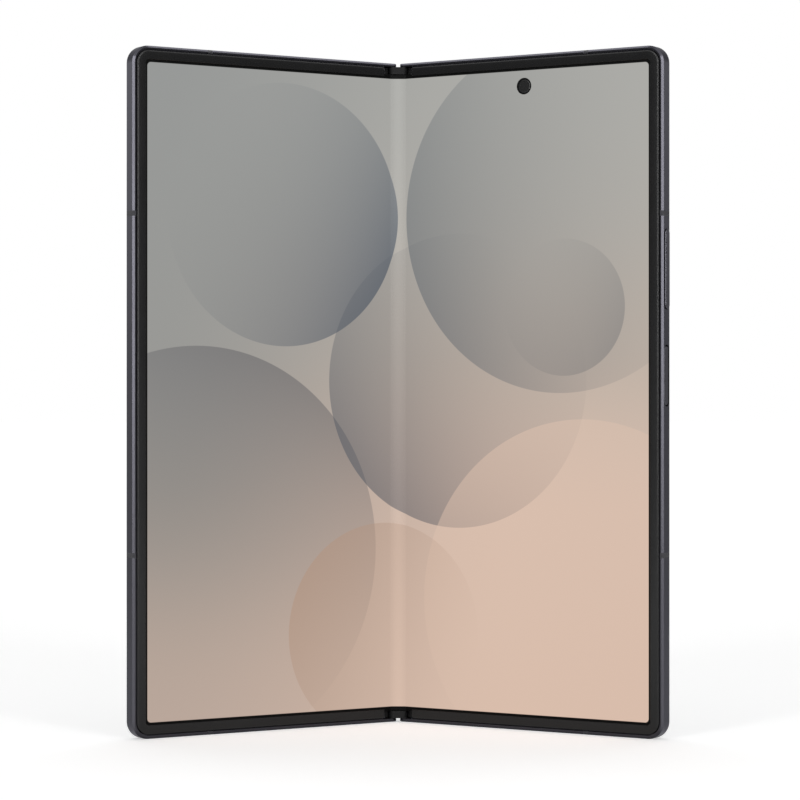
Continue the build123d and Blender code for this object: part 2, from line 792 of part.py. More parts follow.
with BuildPart() as earpiece:
    extrude(patch(left.offset(cell_back), -1, *earpiece_area, board_round), amount=back_limit - cell_back)
write("earpiece", earpiece)

with BuildPart() as haptic_motor:
    extrude(patch(left.offset(cell_back), -1, *motor_area, board_round), amount=back_limit - cell_back)
write("haptic_motor", haptic_motor)

tray_place = (-tray_x, tray_height)
face_top = height - tray_recess
face_bottom = height - wall
with BuildPart() as sim_tray:
    face = slot(end_view(left, face_top), tray_place, tray_face_length, tray_face_width)
    extrude(face, amount=face_top - face_bottom)
    pin_place = (-tray_x + tray_face_length / 2 - pin_hole_side, tray_height)
    pin_hole = discs(end_view(left, face_top), [pin_place], pin_hole_radius)
    extrude(pin_hole, amount=pin_hole_depth, mode=Mode.SUBTRACT)
    with BuildSketch(end_view(left, face_bottom)) as plate:
        with Locations(tray_place):
            Rectangle(tray_plate_width, tray_plate_thickness)
    extrude(plate.sketch, amount=tray_plate_length)
    card_top = face_bottom - (tray_plate_length - card_length) / 2
    window = patch(
        left, -1, tray_x - card_width / 2, tray_x + card_width / 2, card_top - card_length, card_top
    )
    extrude(window, amount=thickness, mode=Mode.SUBTRACT)
write("sim_tray", sim_tray)

with BuildPart() as sim_reader:
    with BuildSketch(end_view(left, face_bottom - reader_gap)) as cage:
        with Locations(tray_place):
            play = 2 * reader_gap
            shell = play + 2 * reader_wall
            Rectangle(tray_plate_width + shell, tray_plate_thickness + shell)
            Rectangle(tray_plate_width + play, tray_plate_thickness + play, mode=Mode.SUBTRACT)
    extrude(cage.sketch, amount=tray_plate_length)
write("sim_reader", sim_reader)


# --- Right half: back glass, cameras, boards, socket, speakers and keys ------------------------

lenses = sided(1, lens_places)
flash_places = [flash_place]
with BuildPart() as back_glass:
    extrude(outline(right, 1, glass_near, glass_inset + glass_gap), amount=back_thickness)
    extrude(discs(right, lenses, barrel_radius + barrel_gap), amount=back_thickness, mode=Mode.SUBTRACT)
    window = discs(right, flash_places, flash_radius + camera_gap)
    extrude(window, amount=back_thickness, mode=Mode.SUBTRACT)
write("back_glass", back_glass)

with BuildPart() as camera_island:
    island_place = (island_x, island_z)
    plate = slot(right.offset(-island_height), island_place, island_length, island_width, turned=90)
    extrude(plate, amount=island_height)
    fillet(camera_island.faces().sort_by(Axis(right.origin, right.z_dir))[0].edges(), island_round)
    windows = discs(right.offset(-island_height), lenses, barrel_radius + barrel_gap)
    extrude(windows, amount=island_height, mode=Mode.SUBTRACT)
write("camera_island", camera_island)

ring_back = -island_height - ring_height
with BuildPart() as camera_rings:
    extrude(discs(right.offset(ring_back), lenses, ring_radius), amount=ring_height)
    chamfer(camera_rings.faces().group_by(Axis(right.origin, right.z_dir))[0].edges(), small_round)
    windows = discs(right.offset(ring_back), lenses, lens_radius + lens_gap)
    extrude(windows, amount=ring_height, mode=Mode.SUBTRACT)
write("camera_rings", camera_rings)

with BuildPart() as camera_lenses:
    extrude(discs(right.offset(ring_back + lens_recess), lenses, lens_radius), amount=lens_thickness)
write("camera_lenses", camera_lenses)

barrel_back = ring_back + lens_recess + lens_thickness + seat_gap
for name, place in zip(("ultrawide_camera", "main_camera", "telephoto_camera"), lens_places):
    with BuildPart() as camera:
        area = square_round(place, camera_size)
        extrude(patch(right.offset(cell_back), 1, *area, board_round), amount=back_limit - cell_back)
        extrude(discs(right.offset(barrel_back), [place], barrel_radius), amount=cell_back - barrel_back)
    write(name, camera)

with BuildPart() as flash:
    extrude(discs(right.offset(-flash_stand), flash_places, flash_radius), amount=flash_stand + cell_back)
write("flash", flash)

with BuildPart() as inner_camera:
    area = square_round(inner_camera_place, inner_camera_size)
    extrude(patch(right.offset(cell_back), 1, *area, small_round), amount=back_limit - cell_back)
    barrel = discs(right.offset(back_limit), [inner_camera_place], inner_camera_radius)
    extrude(barrel, amount=display_front - seat_gap - back_limit)
write("inner_camera", inner_camera)

for name, area, places in (
    ("main_board", main_board_area, board_screws["right"][:4]),
    ("usb_board", usb_board_area, board_screws["right"][4:]),
):
    with BuildPart() as board:
        extrude(patch(right.offset(board_back), 1, *area, board_round), amount=board_thickness)
        holes = discs(right.offset(board_back), places, screw_radius)
        extrude(holes, amount=board_thickness, mode=Mode.SUBTRACT)
    write(name, board)

near, far, low, high = main_board_area
can_edge = board_screw_inset + can_gap
board_middle = (low + high) / 2
with BuildPart() as shield_cans:
    for bottom, top in ((low + can_edge, board_middle - can_gap), (board_middle + can_gap, high - can_edge)):
        can = patch(right.offset(board_back - can_height), 1, near + can_edge, far - can_edge, bottom, top)
        extrude(can, amount=can_height)
write("shield_cans", shield_cans)

with BuildPart() as charging_coil:
    extrude(discs(right.offset(back_thickness), [coil_place], coil_outer), amount=coil_thickness)
    hole = discs(right.offset(back_thickness), [coil_place], coil_inner)
    extrude(hole, amount=coil_thickness, mode=Mode.SUBTRACT)
write("charging_coil", charging_coil)

socket_place = (socket_x, socket_height)
with BuildPart() as usb_socket:
    outer = slot(
        end_view(right, wall + socket_depth), socket_place,
        socket_length + 2 * socket_wall, socket_opening + 2 * socket_wall,
    )
    extrude(outer, amount=socket_depth)
    mouth_depth = socket_depth - socket_back
    mouth = slot(end_view(right, wall + mouth_depth), socket_place, socket_length, socket_opening)
    extrude(mouth, amount=mouth_depth, mode=Mode.SUBTRACT)
    with BuildSketch(end_view(right, wall + mouth_depth)) as tongue:
        with Locations(socket_place):
            Rectangle(tongue_width, tongue_thickness)
    extrude(tongue.sketch, amount=mouth_depth - tongue_end)
write("usb_socket", usb_socket)

for name, area in (("loudspeaker", speaker_area), ("top_speaker", top_speaker_area)):
    with BuildPart() as speaker:
        extrude(patch(right.offset(cell_back), 1, *area, board_round), amount=back_limit - cell_back)
    write(name, speaker)

outwards = Axis(right.origin, right.x_dir)
with BuildPart() as volume_key:
    body = slot(side_view(right, 1, volume_middle, key_depth), (0, 0), volume_length, key_width)
    extrude(body, amount=key_depth + volume_stand)
    fillet(volume_key.faces().sort_by(outwards)[-1].edges(), key_round)
write("volume_key", volume_key)

with BuildPart() as power_key:
    body = slot(side_view(right, 1, power_middle, key_depth), (0, 0), power_length, key_width)
    extrude(body, amount=key_depth)
    fillet(power_key.faces().sort_by(outwards)[-1].edges(), key_round)
write("power_key", power_key)

with BuildPart() as key_switches:
    for level in (volume_middle - volume_switch_shift, volume_middle + volume_switch_shift, power_middle):
        dome = discs(side_view(right, 1, level, key_slot_depth), [(0, 0)], switch_radius)
        extrude(dome, amount=switch_height)
write("key_switches", key_switches)
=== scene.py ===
import json
import math

import bmesh
import bpy
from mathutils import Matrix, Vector


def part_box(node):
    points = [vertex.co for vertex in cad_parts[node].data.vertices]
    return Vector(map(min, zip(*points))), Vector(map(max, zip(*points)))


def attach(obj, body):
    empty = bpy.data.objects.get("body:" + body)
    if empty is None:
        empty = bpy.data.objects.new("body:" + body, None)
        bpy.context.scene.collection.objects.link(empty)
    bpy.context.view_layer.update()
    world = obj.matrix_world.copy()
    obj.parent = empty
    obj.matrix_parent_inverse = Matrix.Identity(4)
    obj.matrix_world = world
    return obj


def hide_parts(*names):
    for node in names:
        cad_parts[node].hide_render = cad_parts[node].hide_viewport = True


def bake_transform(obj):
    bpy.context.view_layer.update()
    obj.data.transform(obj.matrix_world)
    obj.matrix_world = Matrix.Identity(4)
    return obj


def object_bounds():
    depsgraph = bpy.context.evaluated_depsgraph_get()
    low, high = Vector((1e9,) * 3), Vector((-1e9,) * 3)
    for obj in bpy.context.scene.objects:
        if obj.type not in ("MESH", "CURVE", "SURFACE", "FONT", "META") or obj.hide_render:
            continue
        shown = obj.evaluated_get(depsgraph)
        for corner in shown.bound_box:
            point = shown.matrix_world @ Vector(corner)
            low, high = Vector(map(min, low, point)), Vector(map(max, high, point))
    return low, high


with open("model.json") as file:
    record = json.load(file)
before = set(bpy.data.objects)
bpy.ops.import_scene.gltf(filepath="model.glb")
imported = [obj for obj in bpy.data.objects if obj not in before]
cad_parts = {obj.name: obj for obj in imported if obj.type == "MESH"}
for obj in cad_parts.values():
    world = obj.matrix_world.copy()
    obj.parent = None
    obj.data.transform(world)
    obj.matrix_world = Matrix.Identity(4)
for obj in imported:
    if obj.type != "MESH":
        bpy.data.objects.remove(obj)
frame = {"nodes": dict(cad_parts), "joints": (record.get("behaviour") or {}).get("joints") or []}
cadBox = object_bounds()
nodes = frame["nodes"]
print("frame loaded:", len(nodes), "nodes")

mm = 0.001

# Places on a half: s out from the hinge line, z up from the bottom edge, h from the back face
# forwards, all in millimetres. The fold joint says where the half turns and how far it stands tilted.
rightFold = next(joint for joint in frame["joints"] if joint["name"] == "right_fold")
hinge = {
    "axisX": rightFold["pos_m"][0] / mm,
    "axisY": rightFold["pos_m"][1] / mm,
    "axisHeight": 2.325,
    "tilt": math.radians(rightFold["range_deg"][1]),
}
phone = {
    "halfWidth": 71.6,
    "height": cadBox[1].z / mm,
    "displayFront": 3.85,
    "displayThickness": 0.45,
    "backGlass": 0.5,
}


def onHalf(out, s, z, h):
    reach = s - hinge["axisX"]
    rise = hinge["axisHeight"] - h
    cosine, sine = math.cos(hinge["tilt"]), math.sin(hinge["tilt"])
    x = hinge["axisX"] + cosine * reach + sine * rise
    y = hinge["axisY"] - sine * reach + cosine * rise
    return Vector((out * x, y, z)) * mm


def acrossHalf(out):
    # Directions of growing s, z and h
    start = onHalf(out, 0, 0, 0)
    return [(onHalf(out, *step) - start).normalized() for step in ((1, 0, 0), (0, 1, 0), (0, 0, 1))]


def shade(red, green, blue):
    # A colour as it is seen, 0 to 255, as the linear colour that a shader takes
    def linear(level):
        level /= 255
        return level / 12.92 if level <= 0.04045 else ((level + 0.055) / 1.055) ** 2.4

    return (linear(red), linear(green), linear(blue), 1.0)


# Shader nodes


def addNode(tree, kind, inputs=None, **settings):
    made = tree.nodes.new("ShaderNode" + kind)
    for name, value in settings.items():
        setattr(made, name, value)
    for name, value in (inputs or {}).items():
        if isinstance(value, bpy.types.NodeSocket):
            tree.links.new(value, made.inputs[name])
        else:
            made.inputs[name].default_value = value
    return made


def calc(tree, operation, *values, clamp=False):
    return addNode(tree, "Math", dict(enumerate(values)), operation=operation, use_clamp=clamp).outputs[0]


def vectorCalc(tree, operation, *values):
    made = addNode(tree, "VectorMath", dict(enumerate(values)), operation=operation)
    return made.outputs["Value" if operation in ("LENGTH", "DOT_PRODUCT", "DISTANCE") else "Vector"]


def spread(tree, value, fromLow, fromHigh, toLow, toHigh, smooth=False):
    made = addNode(
        tree,
        "MapRange",
        {"Value": value, "From Min": fromLow, "From Max": fromHigh, "To Min": toLow, "To Max": toHigh},
        interpolation_type="SMOOTHSTEP" if smooth else "LINEAR",
    )
    return made.outputs["Result"]


def mixColour(tree, share, first, second, blend="MIX"):
    made = addNode(tree, "Mix", data_type="RGBA", blend_type=blend)
    for index, value in ((0, share), (6, first), (7, second)):
        if isinstance(value, bpy.types.NodeSocket):
            tree.links.new(value, made.inputs[index])
        else:
            made.inputs[index].default_value = value
    return made.outputs[2]


def objectPlace(tree):
    # Place on the object, in millimetres
    place = addNode(tree, "TexCoord").outputs["Object"]
    return vectorCalc(tree, "MULTIPLY", place, (1 / mm,) * 3)


def noise(tree, place, size, detail=2.0, roughness=0.5):
    inputs = {"Vector": place, "Scale": 1 / size, "Detail": detail, "Roughness": roughness}
    return addNode(tree, "TexNoise", inputs).outputs["Fac"]


def bump(tree, height, depth, strength=1.0, normal=None):
    inputs = {"Height": height, "Distance": depth * mm, "Strength": strength}
    if normal is not None:
        inputs["Normal"] = normal
    return addNode(tree, "Bump", inputs).outputs["Normal"]


def startMaterial(name, settings):
    material = bpy.data.materials.new(name)
    material.use_nodes = True
    shader = material.node_tree.nodes["Principled BSDF"]
    for socket, value in settings.items():
        shader.inputs[socket].default_value = value
    return material, material.node_tree, shader


def darker(colour, factor):
    return tuple(channel * factor for channel in colour[:3]) + (1.0,)


def grained(name, colour, grain, settings, roughness=(0.3, 0.4), mottle=(14.0, 0.12), depth=0.004):
    # A finish with a fine grain: it roughens and pits the surface, and a wide mottle varies its colour
    material, tree, shader = startMaterial(name, settings)
    place = objectPlace(tree)
    fine = noise(tree, place, grain, detail=3.0)
    wide = noise(tree, place, mottle[0], detail=4.0, roughness=0.6)
    tone = mixColour(tree, wide, darker(colour, 1 - mottle[1]), darker(colour, 1 + mottle[1]))
    tree.links.new(tone, shader.inputs["Base Color"])
    mixed = calc(tree, "MULTIPLY_ADD", fine, 0.6, calc(tree, "MULTIPLY", wide, 0.4))
    tree.links.new(spread(tree, mixed, 0.3, 0.7, *roughness), shader.inputs["Roughness"])
    tree.links.new(bump(tree, fine, depth), shader.inputs["Normal"])
    return material


def anodised(name, colour, roughness):
    # The dye keeps the metal a little darker where light grazes it
    settings = {"Metallic": 1.0, "Specular Tint": (0.8, 0.8, 0.84, 1)}
    return grained(name, colour, 0.11, settings, roughness=roughness, mottle=(22.0, 0.05), depth=0.0006)


def brushed(name, colour, along, roughness=(0.22, 0.42)):
    # Fine scratches drawn out along one direction
    material, tree, shader = startMaterial(name, {"Metallic": 1.0})
    place = objectPlace(tree)
    drawn = vectorCalc(tree, "MULTIPLY", place, along)
    lines = noise(tree, drawn, 0.05, detail=4.0, roughness=0.65)
    wide = noise(tree, place, 9.0, detail=3.0)
    tone = mixColour(tree, lines, darker(colour, 0.82), darker(colour, 1.12))
    tree.links.new(mixColour(tree, wide, tone, darker(colour, 0.9)), shader.inputs["Base Color"])
    tree.links.new(spread(tree, lines, 0.3, 0.7, *roughness), shader.inputs["Roughness"])
    tree.links.new(bump(tree, lines, 0.003), shader.inputs["Normal"])
    return material


print("shader helpers ready")


# Finishes of the outside

frameMetal = anodised("frameMetal", (0.056, 0.0553, 0.0645, 1), (0.2, 0.27))
spineMetal = anodised("spineMetal", (0.062, 0.0615, 0.071, 1), (0.2, 0.26))
keyMetal = anodised("keyMetal", (0.074, 0.0732, 0.083, 1), (0.17, 0.23))
islandMetal = anodised("islandMetal", (0.05, 0.05, 0.057, 1), (0.22, 0.29))
rimPlastic = grained(
    "rimPlastic",
    (0.0046, 0.0046, 0.0049, 1),
    0.16,
    {"Specular IOR Level": 0.37},
    roughness=(0.2, 0.28),
    mottle=(8.0, 0.12),
    depth=0.002,
)
bandPlastic = grained(
    "bandPlastic", (0.036, 0.036, 0.042, 1), 0.2, {"Specular IOR Level": 0.3}, roughness=(0.45, 0.6), depth=0.005
)
blackPlastic = grained(
    "blackPlastic", (0.011, 0.011, 0.012, 1), 0.3, {"Specular IOR Level": 0.3}, roughness=(0.4, 0.6), depth=0.01
)
capPlastic = grained(
    "capPlastic", (0.0052, 0.0052, 0.0056, 1), 0.14, {"Specular IOR Level": 0.2}, roughness=(0.5, 0.6), depth=0.002
)


def satinGlass(name, colour):
    # Etched glass: a dark pigment under it, and a fine sparkle in the etching painted as brighter flecks of its colour:
    # painted glints
    material, tree, shader = startMaterial(name, {"Specular IOR Level": 0.5, "Coat Weight": 0.25, "Coat Roughness": 0.35})
    place = objectPlace(tree)
    etch = noise(tree, place, 0.09, detail=2.0)
    flakes = addNode(tree, "TexVoronoi", {"Vector": place, "Scale": 9.0}, feature="F1")
    paintedGlint = calc(tree, "GREATER_THAN", addNode(tree, "SeparateColor", {"Color": flakes.outputs["Color"]}).outputs[0], 0.94)
    wide = noise(tree, place, 30.0, detail=2.0)
    tone = mixColour(tree, wide, darker(colour, 0.93), darker(colour, 1.07))
    # Painted glints: random flecks of the base colour made twice as bright
    tone = mixColour(tree, calc(tree, "MULTIPLY", paintedGlint, 0.35), tone, darker(colour, 2.0))
    tree.links.new(tone, shader.inputs["Base Color"])
    tree.links.new(spread(tree, etch, 0.3, 0.7, 0.3, 0.42), shader.inputs["Roughness"])
    tree.links.new(bump(tree, etch, 0.0015), shader.inputs["Normal"])
    return material


def polishedGlass(name, colour, smudge=0.05):
    # Black polished glass that a thumb has touched: faint, wide smears in its gloss
    material, tree, shader = startMaterial(name, {"Specular IOR Level": 0.5})
    place = objectPlace(tree)
    smears = noise(tree, place, 17.0, detail=6.0, roughness=0.62)
    dust = noise(tree, place, 0.6, detail=2.0)
    tone = mixColour(tree, smears, darker(colour, 0.85), darker(colour, 1.15))
    tree.links.new(tone, shader.inputs["Base Color"])
    worn = calc(tree, "MULTIPLY_ADD", dust, 0.25, smears)
    tree.links.new(spread(tree, worn, 0.35, 0.9, 0.015, 0.015 + smudge), shader.inputs["Roughness"])
    return material


backGlass = satinGlass("backGlass", (0.034, 0.034, 0.040, 1))
lensBlack = polishedGlass("lensBlack", (0.004, 0.004, 0.005, 1), smudge=0.03)


def coverGlassMaterial():
    # The outer display is off: its picture area is a shade lighter than the border printed round it
    look = {"near": 7.1, "far": 69.0, "low": 2.6, "corner": 3.0, "border": 0.0022, "area": 0.0052}
    material, tree, shader = startMaterial("coverGlass", {"Specular IOR Level": 0.5})
    place = objectPlace(tree)
    away, _, _ = acrossHalf(-1)
    start = onHalf(-1, 0, 0, 0) / mm
    s = vectorCalc(tree, "DOT_PRODUCT", vectorCalc(tree, "SUBTRACT", place, start), away)
    z = addNode(tree, "SeparateXYZ", {"Vector": place}).outputs["Z"]
    inside = roundedBox(
        tree, s, z, (look["near"] + look["far"]) / 2, phone["height"] / 2,
        (look["far"] - look["near"]) / 2, phone["height"] / 2 - look["low"], look["corner"], 0.15,
    )
    smears = noise(tree, place, 21.0, detail=6.0, roughness=0.62)
    tone = mixColour(tree, inside, (look["border"],) * 3 + (1,), (look["area"],) * 2 + (look["area"] * 1.1, 1))
    tree.links.new(tone, shader.inputs["Base Color"])
    tree.links.new(spread(tree, smears, 0.4, 0.8, 0.015, 0.07), shader.inputs["Roughness"])
    return material


def roundedBox(tree, x, y, middleX, middleY, halfX, halfY, corner, edge):
    # 1 inside a rectangle with round corners, 0 outside, over a soft edge this wide
    def beyond(value, middle, half):
        off = calc(tree, "ABSOLUTE", calc(tree, "SUBTRACT", value, middle))
        return calc(tree, "SUBTRACT", off, half - corner)

    dx, dy = beyond(x, middleX, halfX), beyond(y, middleY, halfY)
    outX, outY = calc(tree, "MAXIMUM", dx, 0.0), calc(tree, "MAXIMUM", dy, 0.0)
    round_ = calc(tree, "SQRT", calc(tree, "ADD", calc(tree, "MULTIPLY", outX, outX), calc(tree, "MULTIPLY", outY, outY)))
    straight = calc(tree, "MINIMUM", calc(tree, "MAXIMUM", dx, dy), 0.0)
    distance = calc(tree, "SUBTRACT", calc(tree, "ADD", round_, straight), corner)
    return spread(tree, distance, edge / 2, -edge / 2, 0.0, 1.0)


# The inner display of each half is one sheet from its outer edge to the hinge line, with its bend

display = {
    "bendStart": 4.2,
    "border": 2.75,
    "corner": 1.25,
    "cornerSteps": 8,
    "bendSteps": 18,
    "bendThickness": 0.4,
    "valley": 0.085,
    "middleHandle": 2.1,
    "sideHandle": 1.9,
    "window": (35.3, 151.0),
    "windowRadius": 1.95,
    "windowSteps": 64,
}


def bendCurve(out):
    # From the middle of the hinge to the flat part: a Bezier curve, level in the middle
    axisDepth = phone["displayFront"] - hinge["axisHeight"]
    middle = Vector((0, hinge["axisY"] - axisDepth + display["valley"], 0)) * mm
    side = onHalf(out, display["bendStart"], 0, phone["displayFront"])
    away, _, _ = acrossHalf(out)
    handles = (middle + Vector((out * display["middleHandle"] * mm, 0, 0)), side - away * display["sideHandle"] * mm)
    points = []
    for step in range(display["bendSteps"] + 1):
        t = step / display["bendSteps"]
        point = middle * (1 - t) ** 3 + handles[0] * 3 * t * (1 - t) ** 2 + handles[1] * 3 * t * t * (1 - t) + side * t**3
        tangent = (handles[0] - middle) * (1 - t) ** 2 + (handles[1] - handles[0]) * 2 * t * (1 - t) + (side - handles[1]) * t * t
        points.append((point, tangent.normalized()))
    return points


def curveLengths(points):
    lengths = [0.0]
    for (first, _), (second, _) in zip(points, points[1:]):
        lengths.append(lengths[-1] + (second - first).length / mm)
    return lengths


# What the bend saves on the way to the hinge line, compared with a sheet that is laid flat
hingeSlack = display["bendStart"] - curveLengths(bendCurve(1))[-1]


# The picture on the inner display: a haze from grey to peach behind large clear discs

picture = {
    "sideBorder": 3.71,
    "endBorder": 3.75,
    "corner": 0.9,
    "edge": 0.1,
    "glow": 0.935,
    "mirror": 0.05,
    # Mirror share at the crease, raised above the rest: a painted highlight
    "paintedCreaseHighlight": 0.112,
    "creaseHalf": 2.3,
    "left": [
        (0.0, (188, 169, 157)), (0.12, (184, 167, 155)), (0.24, (167, 157, 149)), (0.36, (155, 150, 144)),
        (0.55, (155, 155, 152)), (1.0, (152, 154, 153)),
    ],
    "right": [
        (0.0, (219, 191, 173)), (0.32, (216, 190, 174)), (0.44, (206, 186, 172)), (0.56, (192, 179, 167)),
        (0.76, (179, 176, 170)), (1.0, (173, 173, 169)),
    ],
    "discs": [
        {"at": (44.0, 121.0), "radius": 42.0, "tint": (104, 111, 117), "cover": 0.62, "towards": 200, "fade": 1.7},
        {"at": (-31.0, 121.0), "radius": 31.0, "tint": (82, 93, 106), "cover": 0.78, "towards": -28, "fade": 1.8},
        {"at": (-54.0, 42.0), "radius": 48.0, "tint": (100, 99, 103), "cover": 0.6, "towards": 66, "fade": 2.2},
        {"at": (16.0, 82.0), "radius": 35.0, "tint": (88, 94, 103), "cover": 0.66, "towards": 225, "fade": 1.5},
        {"at": (50.0, 30.0), "radius": 43.0, "tint": (226, 198, 179), "cover": 0.45, "towards": 120, "fade": 1.3},
        {"at": (-4.0, 22.0), "radius": 26.0, "tint": (180, 150, 130), "cover": 0.6, "towards": 150, "fade": 1.4},
        {"at": (45.0, 99.0), "radius": 16.0, "tint": (104, 108, 113), "cover": 0.45, "towards": -30, "fade": 1.6},
    ],
}


def pictureMaterial():
    material, tree, shader = startMaterial(
        "displayPicture",
        {"Specular IOR Level": 0.08, "Emission Strength": picture["glow"]},
    )
    flat = addNode(tree, "UVMap", uv_map="flat").outputs["UV"]
    place = vectorCalc(tree, "MULTIPLY", flat, (1 / mm,) * 3)
    axes = addNode(tree, "SeparateXYZ", {"Vector": place})
    s, z = axes.outputs["X"], axes.outputs["Y"]
    halfX = phone["halfWidth"] - picture["sideBorder"] - hingeSlack
    halfZ = phone["height"] / 2 - picture["endBorder"]
    height = spread(tree, z, picture["endBorder"], phone["height"] - picture["endBorder"], 0.0, 1.0)
    columns = []
    for side in ("left", "right"):
        ramp = addNode(tree, "ValToRGB", {"Fac": height})
        stops = ramp.color_ramp
        stops.interpolation = "B_SPLINE"
        while len(stops.elements) < len(picture[side]):
            stops.elements.new(0.5)
        for stop, (where, colour) in zip(stops.elements, picture[side]):
            stop.position = where
            stop.color = shade(*colour)
        columns.append(ramp.outputs["Color"])
    colour = mixColour(tree, spread(tree, s, -halfX, halfX * 0.5, 0.0, 1.0, smooth=True), *columns)
    for disc in picture["discs"]:
        offset = vectorCalc(tree, "SUBTRACT", place, disc["at"] + (0.0,))
        inside = spread(tree, vectorCalc(tree, "LENGTH", offset), disc["radius"], disc["radius"] - picture["edge"], 0.0, 1.0)
        angle = math.radians(disc["towards"])
        ahead = vectorCalc(tree, "DOT_PRODUCT", offset, (math.cos(angle), math.sin(angle), 0.0))
        rise = spread(tree, ahead, -disc["radius"], disc["radius"], 0.0, 1.0)
        fade = calc(tree, "POWER", rise, disc["fade"])
        share = calc(tree, "MULTIPLY", calc(tree, "MULTIPLY", fade, disc["cover"]), inside)
        colour = mixColour(tree, share, colour, shade(*disc["tint"]))
    lit = roundedBox(tree, s, z, 0.0, phone["height"] / 2, halfX, halfZ, picture["corner"], picture["edge"])
    tree.links.new(mixColour(tree, lit, (0, 0, 0, 1), colour), shader.inputs["Emission Color"])
    smears = noise(tree, place, 23.0, detail=6.0, roughness=0.6)
    tree.links.new(spread(tree, smears, 0.35, 0.75, 0.42, 0.48), shader.inputs["Roughness"])
    # The electrodes behind the picture mirror a little light in its own colour, and the border is black.
    # Towards the crease that mirror share is raised: a painted highlight along the crease.
    offCrease = calc(tree, "ABSOLUTE", s)
    share = spread(tree, offCrease, 0.0, picture["creaseHalf"], picture["paintedCreaseHighlight"], picture["mirror"], smooth=True)
    mirror = mixColour(tree, share, (0, 0, 0, 1), colour)
    tree.links.new(mixColour(tree, lit, (0.0012, 0.0012, 0.0012, 1), mirror), shader.inputs["Base Color"])
    tree.links.new(lit, shader.inputs["Metallic"])
    return material


coverGlass = coverGlassMaterial()
print("outside finishes made")


# Finishes of the inner parts

plainSteel = brushed("plainSteel", (0.42, 0.42, 0.43, 1), (1.0, 1.0, 0.05))
gearSteel = brushed("gearSteel", (0.36, 0.36, 0.37, 1), (1.0, 1.0, 0.1), roughness=(0.18, 0.3))
screwSteel = brushed("screwSteel", (0.28, 0.28, 0.29, 1), (1.0, 0.3, 1.0), roughness=(0.2, 0.32))
speakerPlastic = grained(
    "speakerPlastic", (0.018, 0.018, 0.019, 1), 0.35, {"Specular IOR Level": 0.35}, roughness=(0.35, 0.5), depth=0.012
)


def boardMaterial():
    # Solder mask over copper tracks, with tinned pads and vias in a grid
    look = {"mask": (0.006, 0.03, 0.022, 1), "track": (0.012, 0.055, 0.036, 1), "pad": (0.62, 0.5, 0.26, 1), "pitch": 1.3}
    material, tree, shader = startMaterial("boardMask", {"Specular IOR Level": 0.5, "Coat Weight": 0.4, "Coat Roughness": 0.2})
    place = objectPlace(tree)
    wander = noise(tree, place, 4.0, detail=1.0)
    bent = vectorCalc(tree, "ADD", place, vectorCalc(tree, "MULTIPLY", (1.5, 1.5, 1.5), wander))
    tracks = addNode(
        tree, "TexWave", {"Vector": bent, "Scale": 0.55, "Distortion": 0.0}, wave_type="BANDS", bands_direction="Z"
    ).outputs["Fac"]
    trackShare = spread(tree, tracks, 0.55, 0.62, 0.0, 1.0)
    cells = addNode(tree, "TexVoronoi", {"Vector": place, "Scale": 1 / look["pitch"], "Randomness": 0.35}, feature="F1")
    pads = calc(tree, "LESS_THAN", cells.outputs["Distance"], 0.17)
    tone = mixColour(tree, trackShare, look["mask"], look["track"])
    tone = mixColour(tree, pads, tone, look["pad"])
    tree.links.new(tone, shader.inputs["Base Color"])
    tree.links.new(pads, shader.inputs["Metallic"])
    tree.links.new(spread(tree, wander, 0.3, 0.7, 0.28, 0.4), shader.inputs["Roughness"])
    tree.links.new(bump(tree, calc(tree, "MAXIMUM", trackShare, pads), 0.02), shader.inputs["Normal"])
    return material


def batteryMaterial():
    # A foil pouch in a black wrap: soft creases, their hollows painted darker and their ridges lighter as painted
    # shade, and a lighter tape band towards its top
    material, tree, shader = startMaterial("batteryWrap", {"Specular IOR Level": 0.4})
    place = objectPlace(tree)
    creaseHeightAndShade = noise(tree, place, 11.0, detail=5.0, roughness=0.55)
    weave = noise(tree, place, 0.3, detail=2.0)
    height = addNode(tree, "SeparateXYZ", {"Vector": place}).outputs["Z"]
    tape = spread(tree, calc(tree, "ABSOLUTE", calc(tree, "SUBTRACT", height, 58.0)), 4.0, 3.9, 0.0, 1.0)
    # The wrap's tone follows the crease height: painted shade, darker in the hollows
    tone = mixColour(tree, creaseHeightAndShade, (0.022, 0.022, 0.024, 1), (0.036, 0.036, 0.039, 1))
    tree.links.new(mixColour(tree, tape, tone, (0.09, 0.088, 0.08, 1)), shader.inputs["Base Color"])
    tree.links.new(spread(tree, creaseHeightAndShade, 0.3, 0.7, 0.32, 0.5), shader.inputs["Roughness"])
    height = calc(tree, "MULTIPLY_ADD", weave, 0.08, creaseHeightAndShade)
    tree.links.new(bump(tree, height, 0.12), shader.inputs["Normal"])
    return material


def coilMaterial():
    # Turns of enamelled copper round the middle of the coil
    low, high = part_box("charging_coil")
    middle = (low + high) / 2 / mm
    material, tree, shader = startMaterial("coilCopper", {"Metallic": 1.0})
    place = objectPlace(tree)
    away = vectorCalc(tree, "DISTANCE", place, middle)
    turns = calc(tree, "PINGPONG", away, 0.25)
    tone = mixColour(tree, spread(tree, turns, 0.0, 0.1, 0.0, 1.0), (0.06, 0.022, 0.01, 1), (0.62, 0.3, 0.15, 1))
    tree.links.new(tone, shader.inputs["Base Color"])
    tree.links.new(spread(tree, noise(tree, place, 2.0), 0.3, 0.7, 0.22, 0.36), shader.inputs["Roughness"])
    tree.links.new(bump(tree, turns, 0.1), shader.inputs["Normal"])
    return material


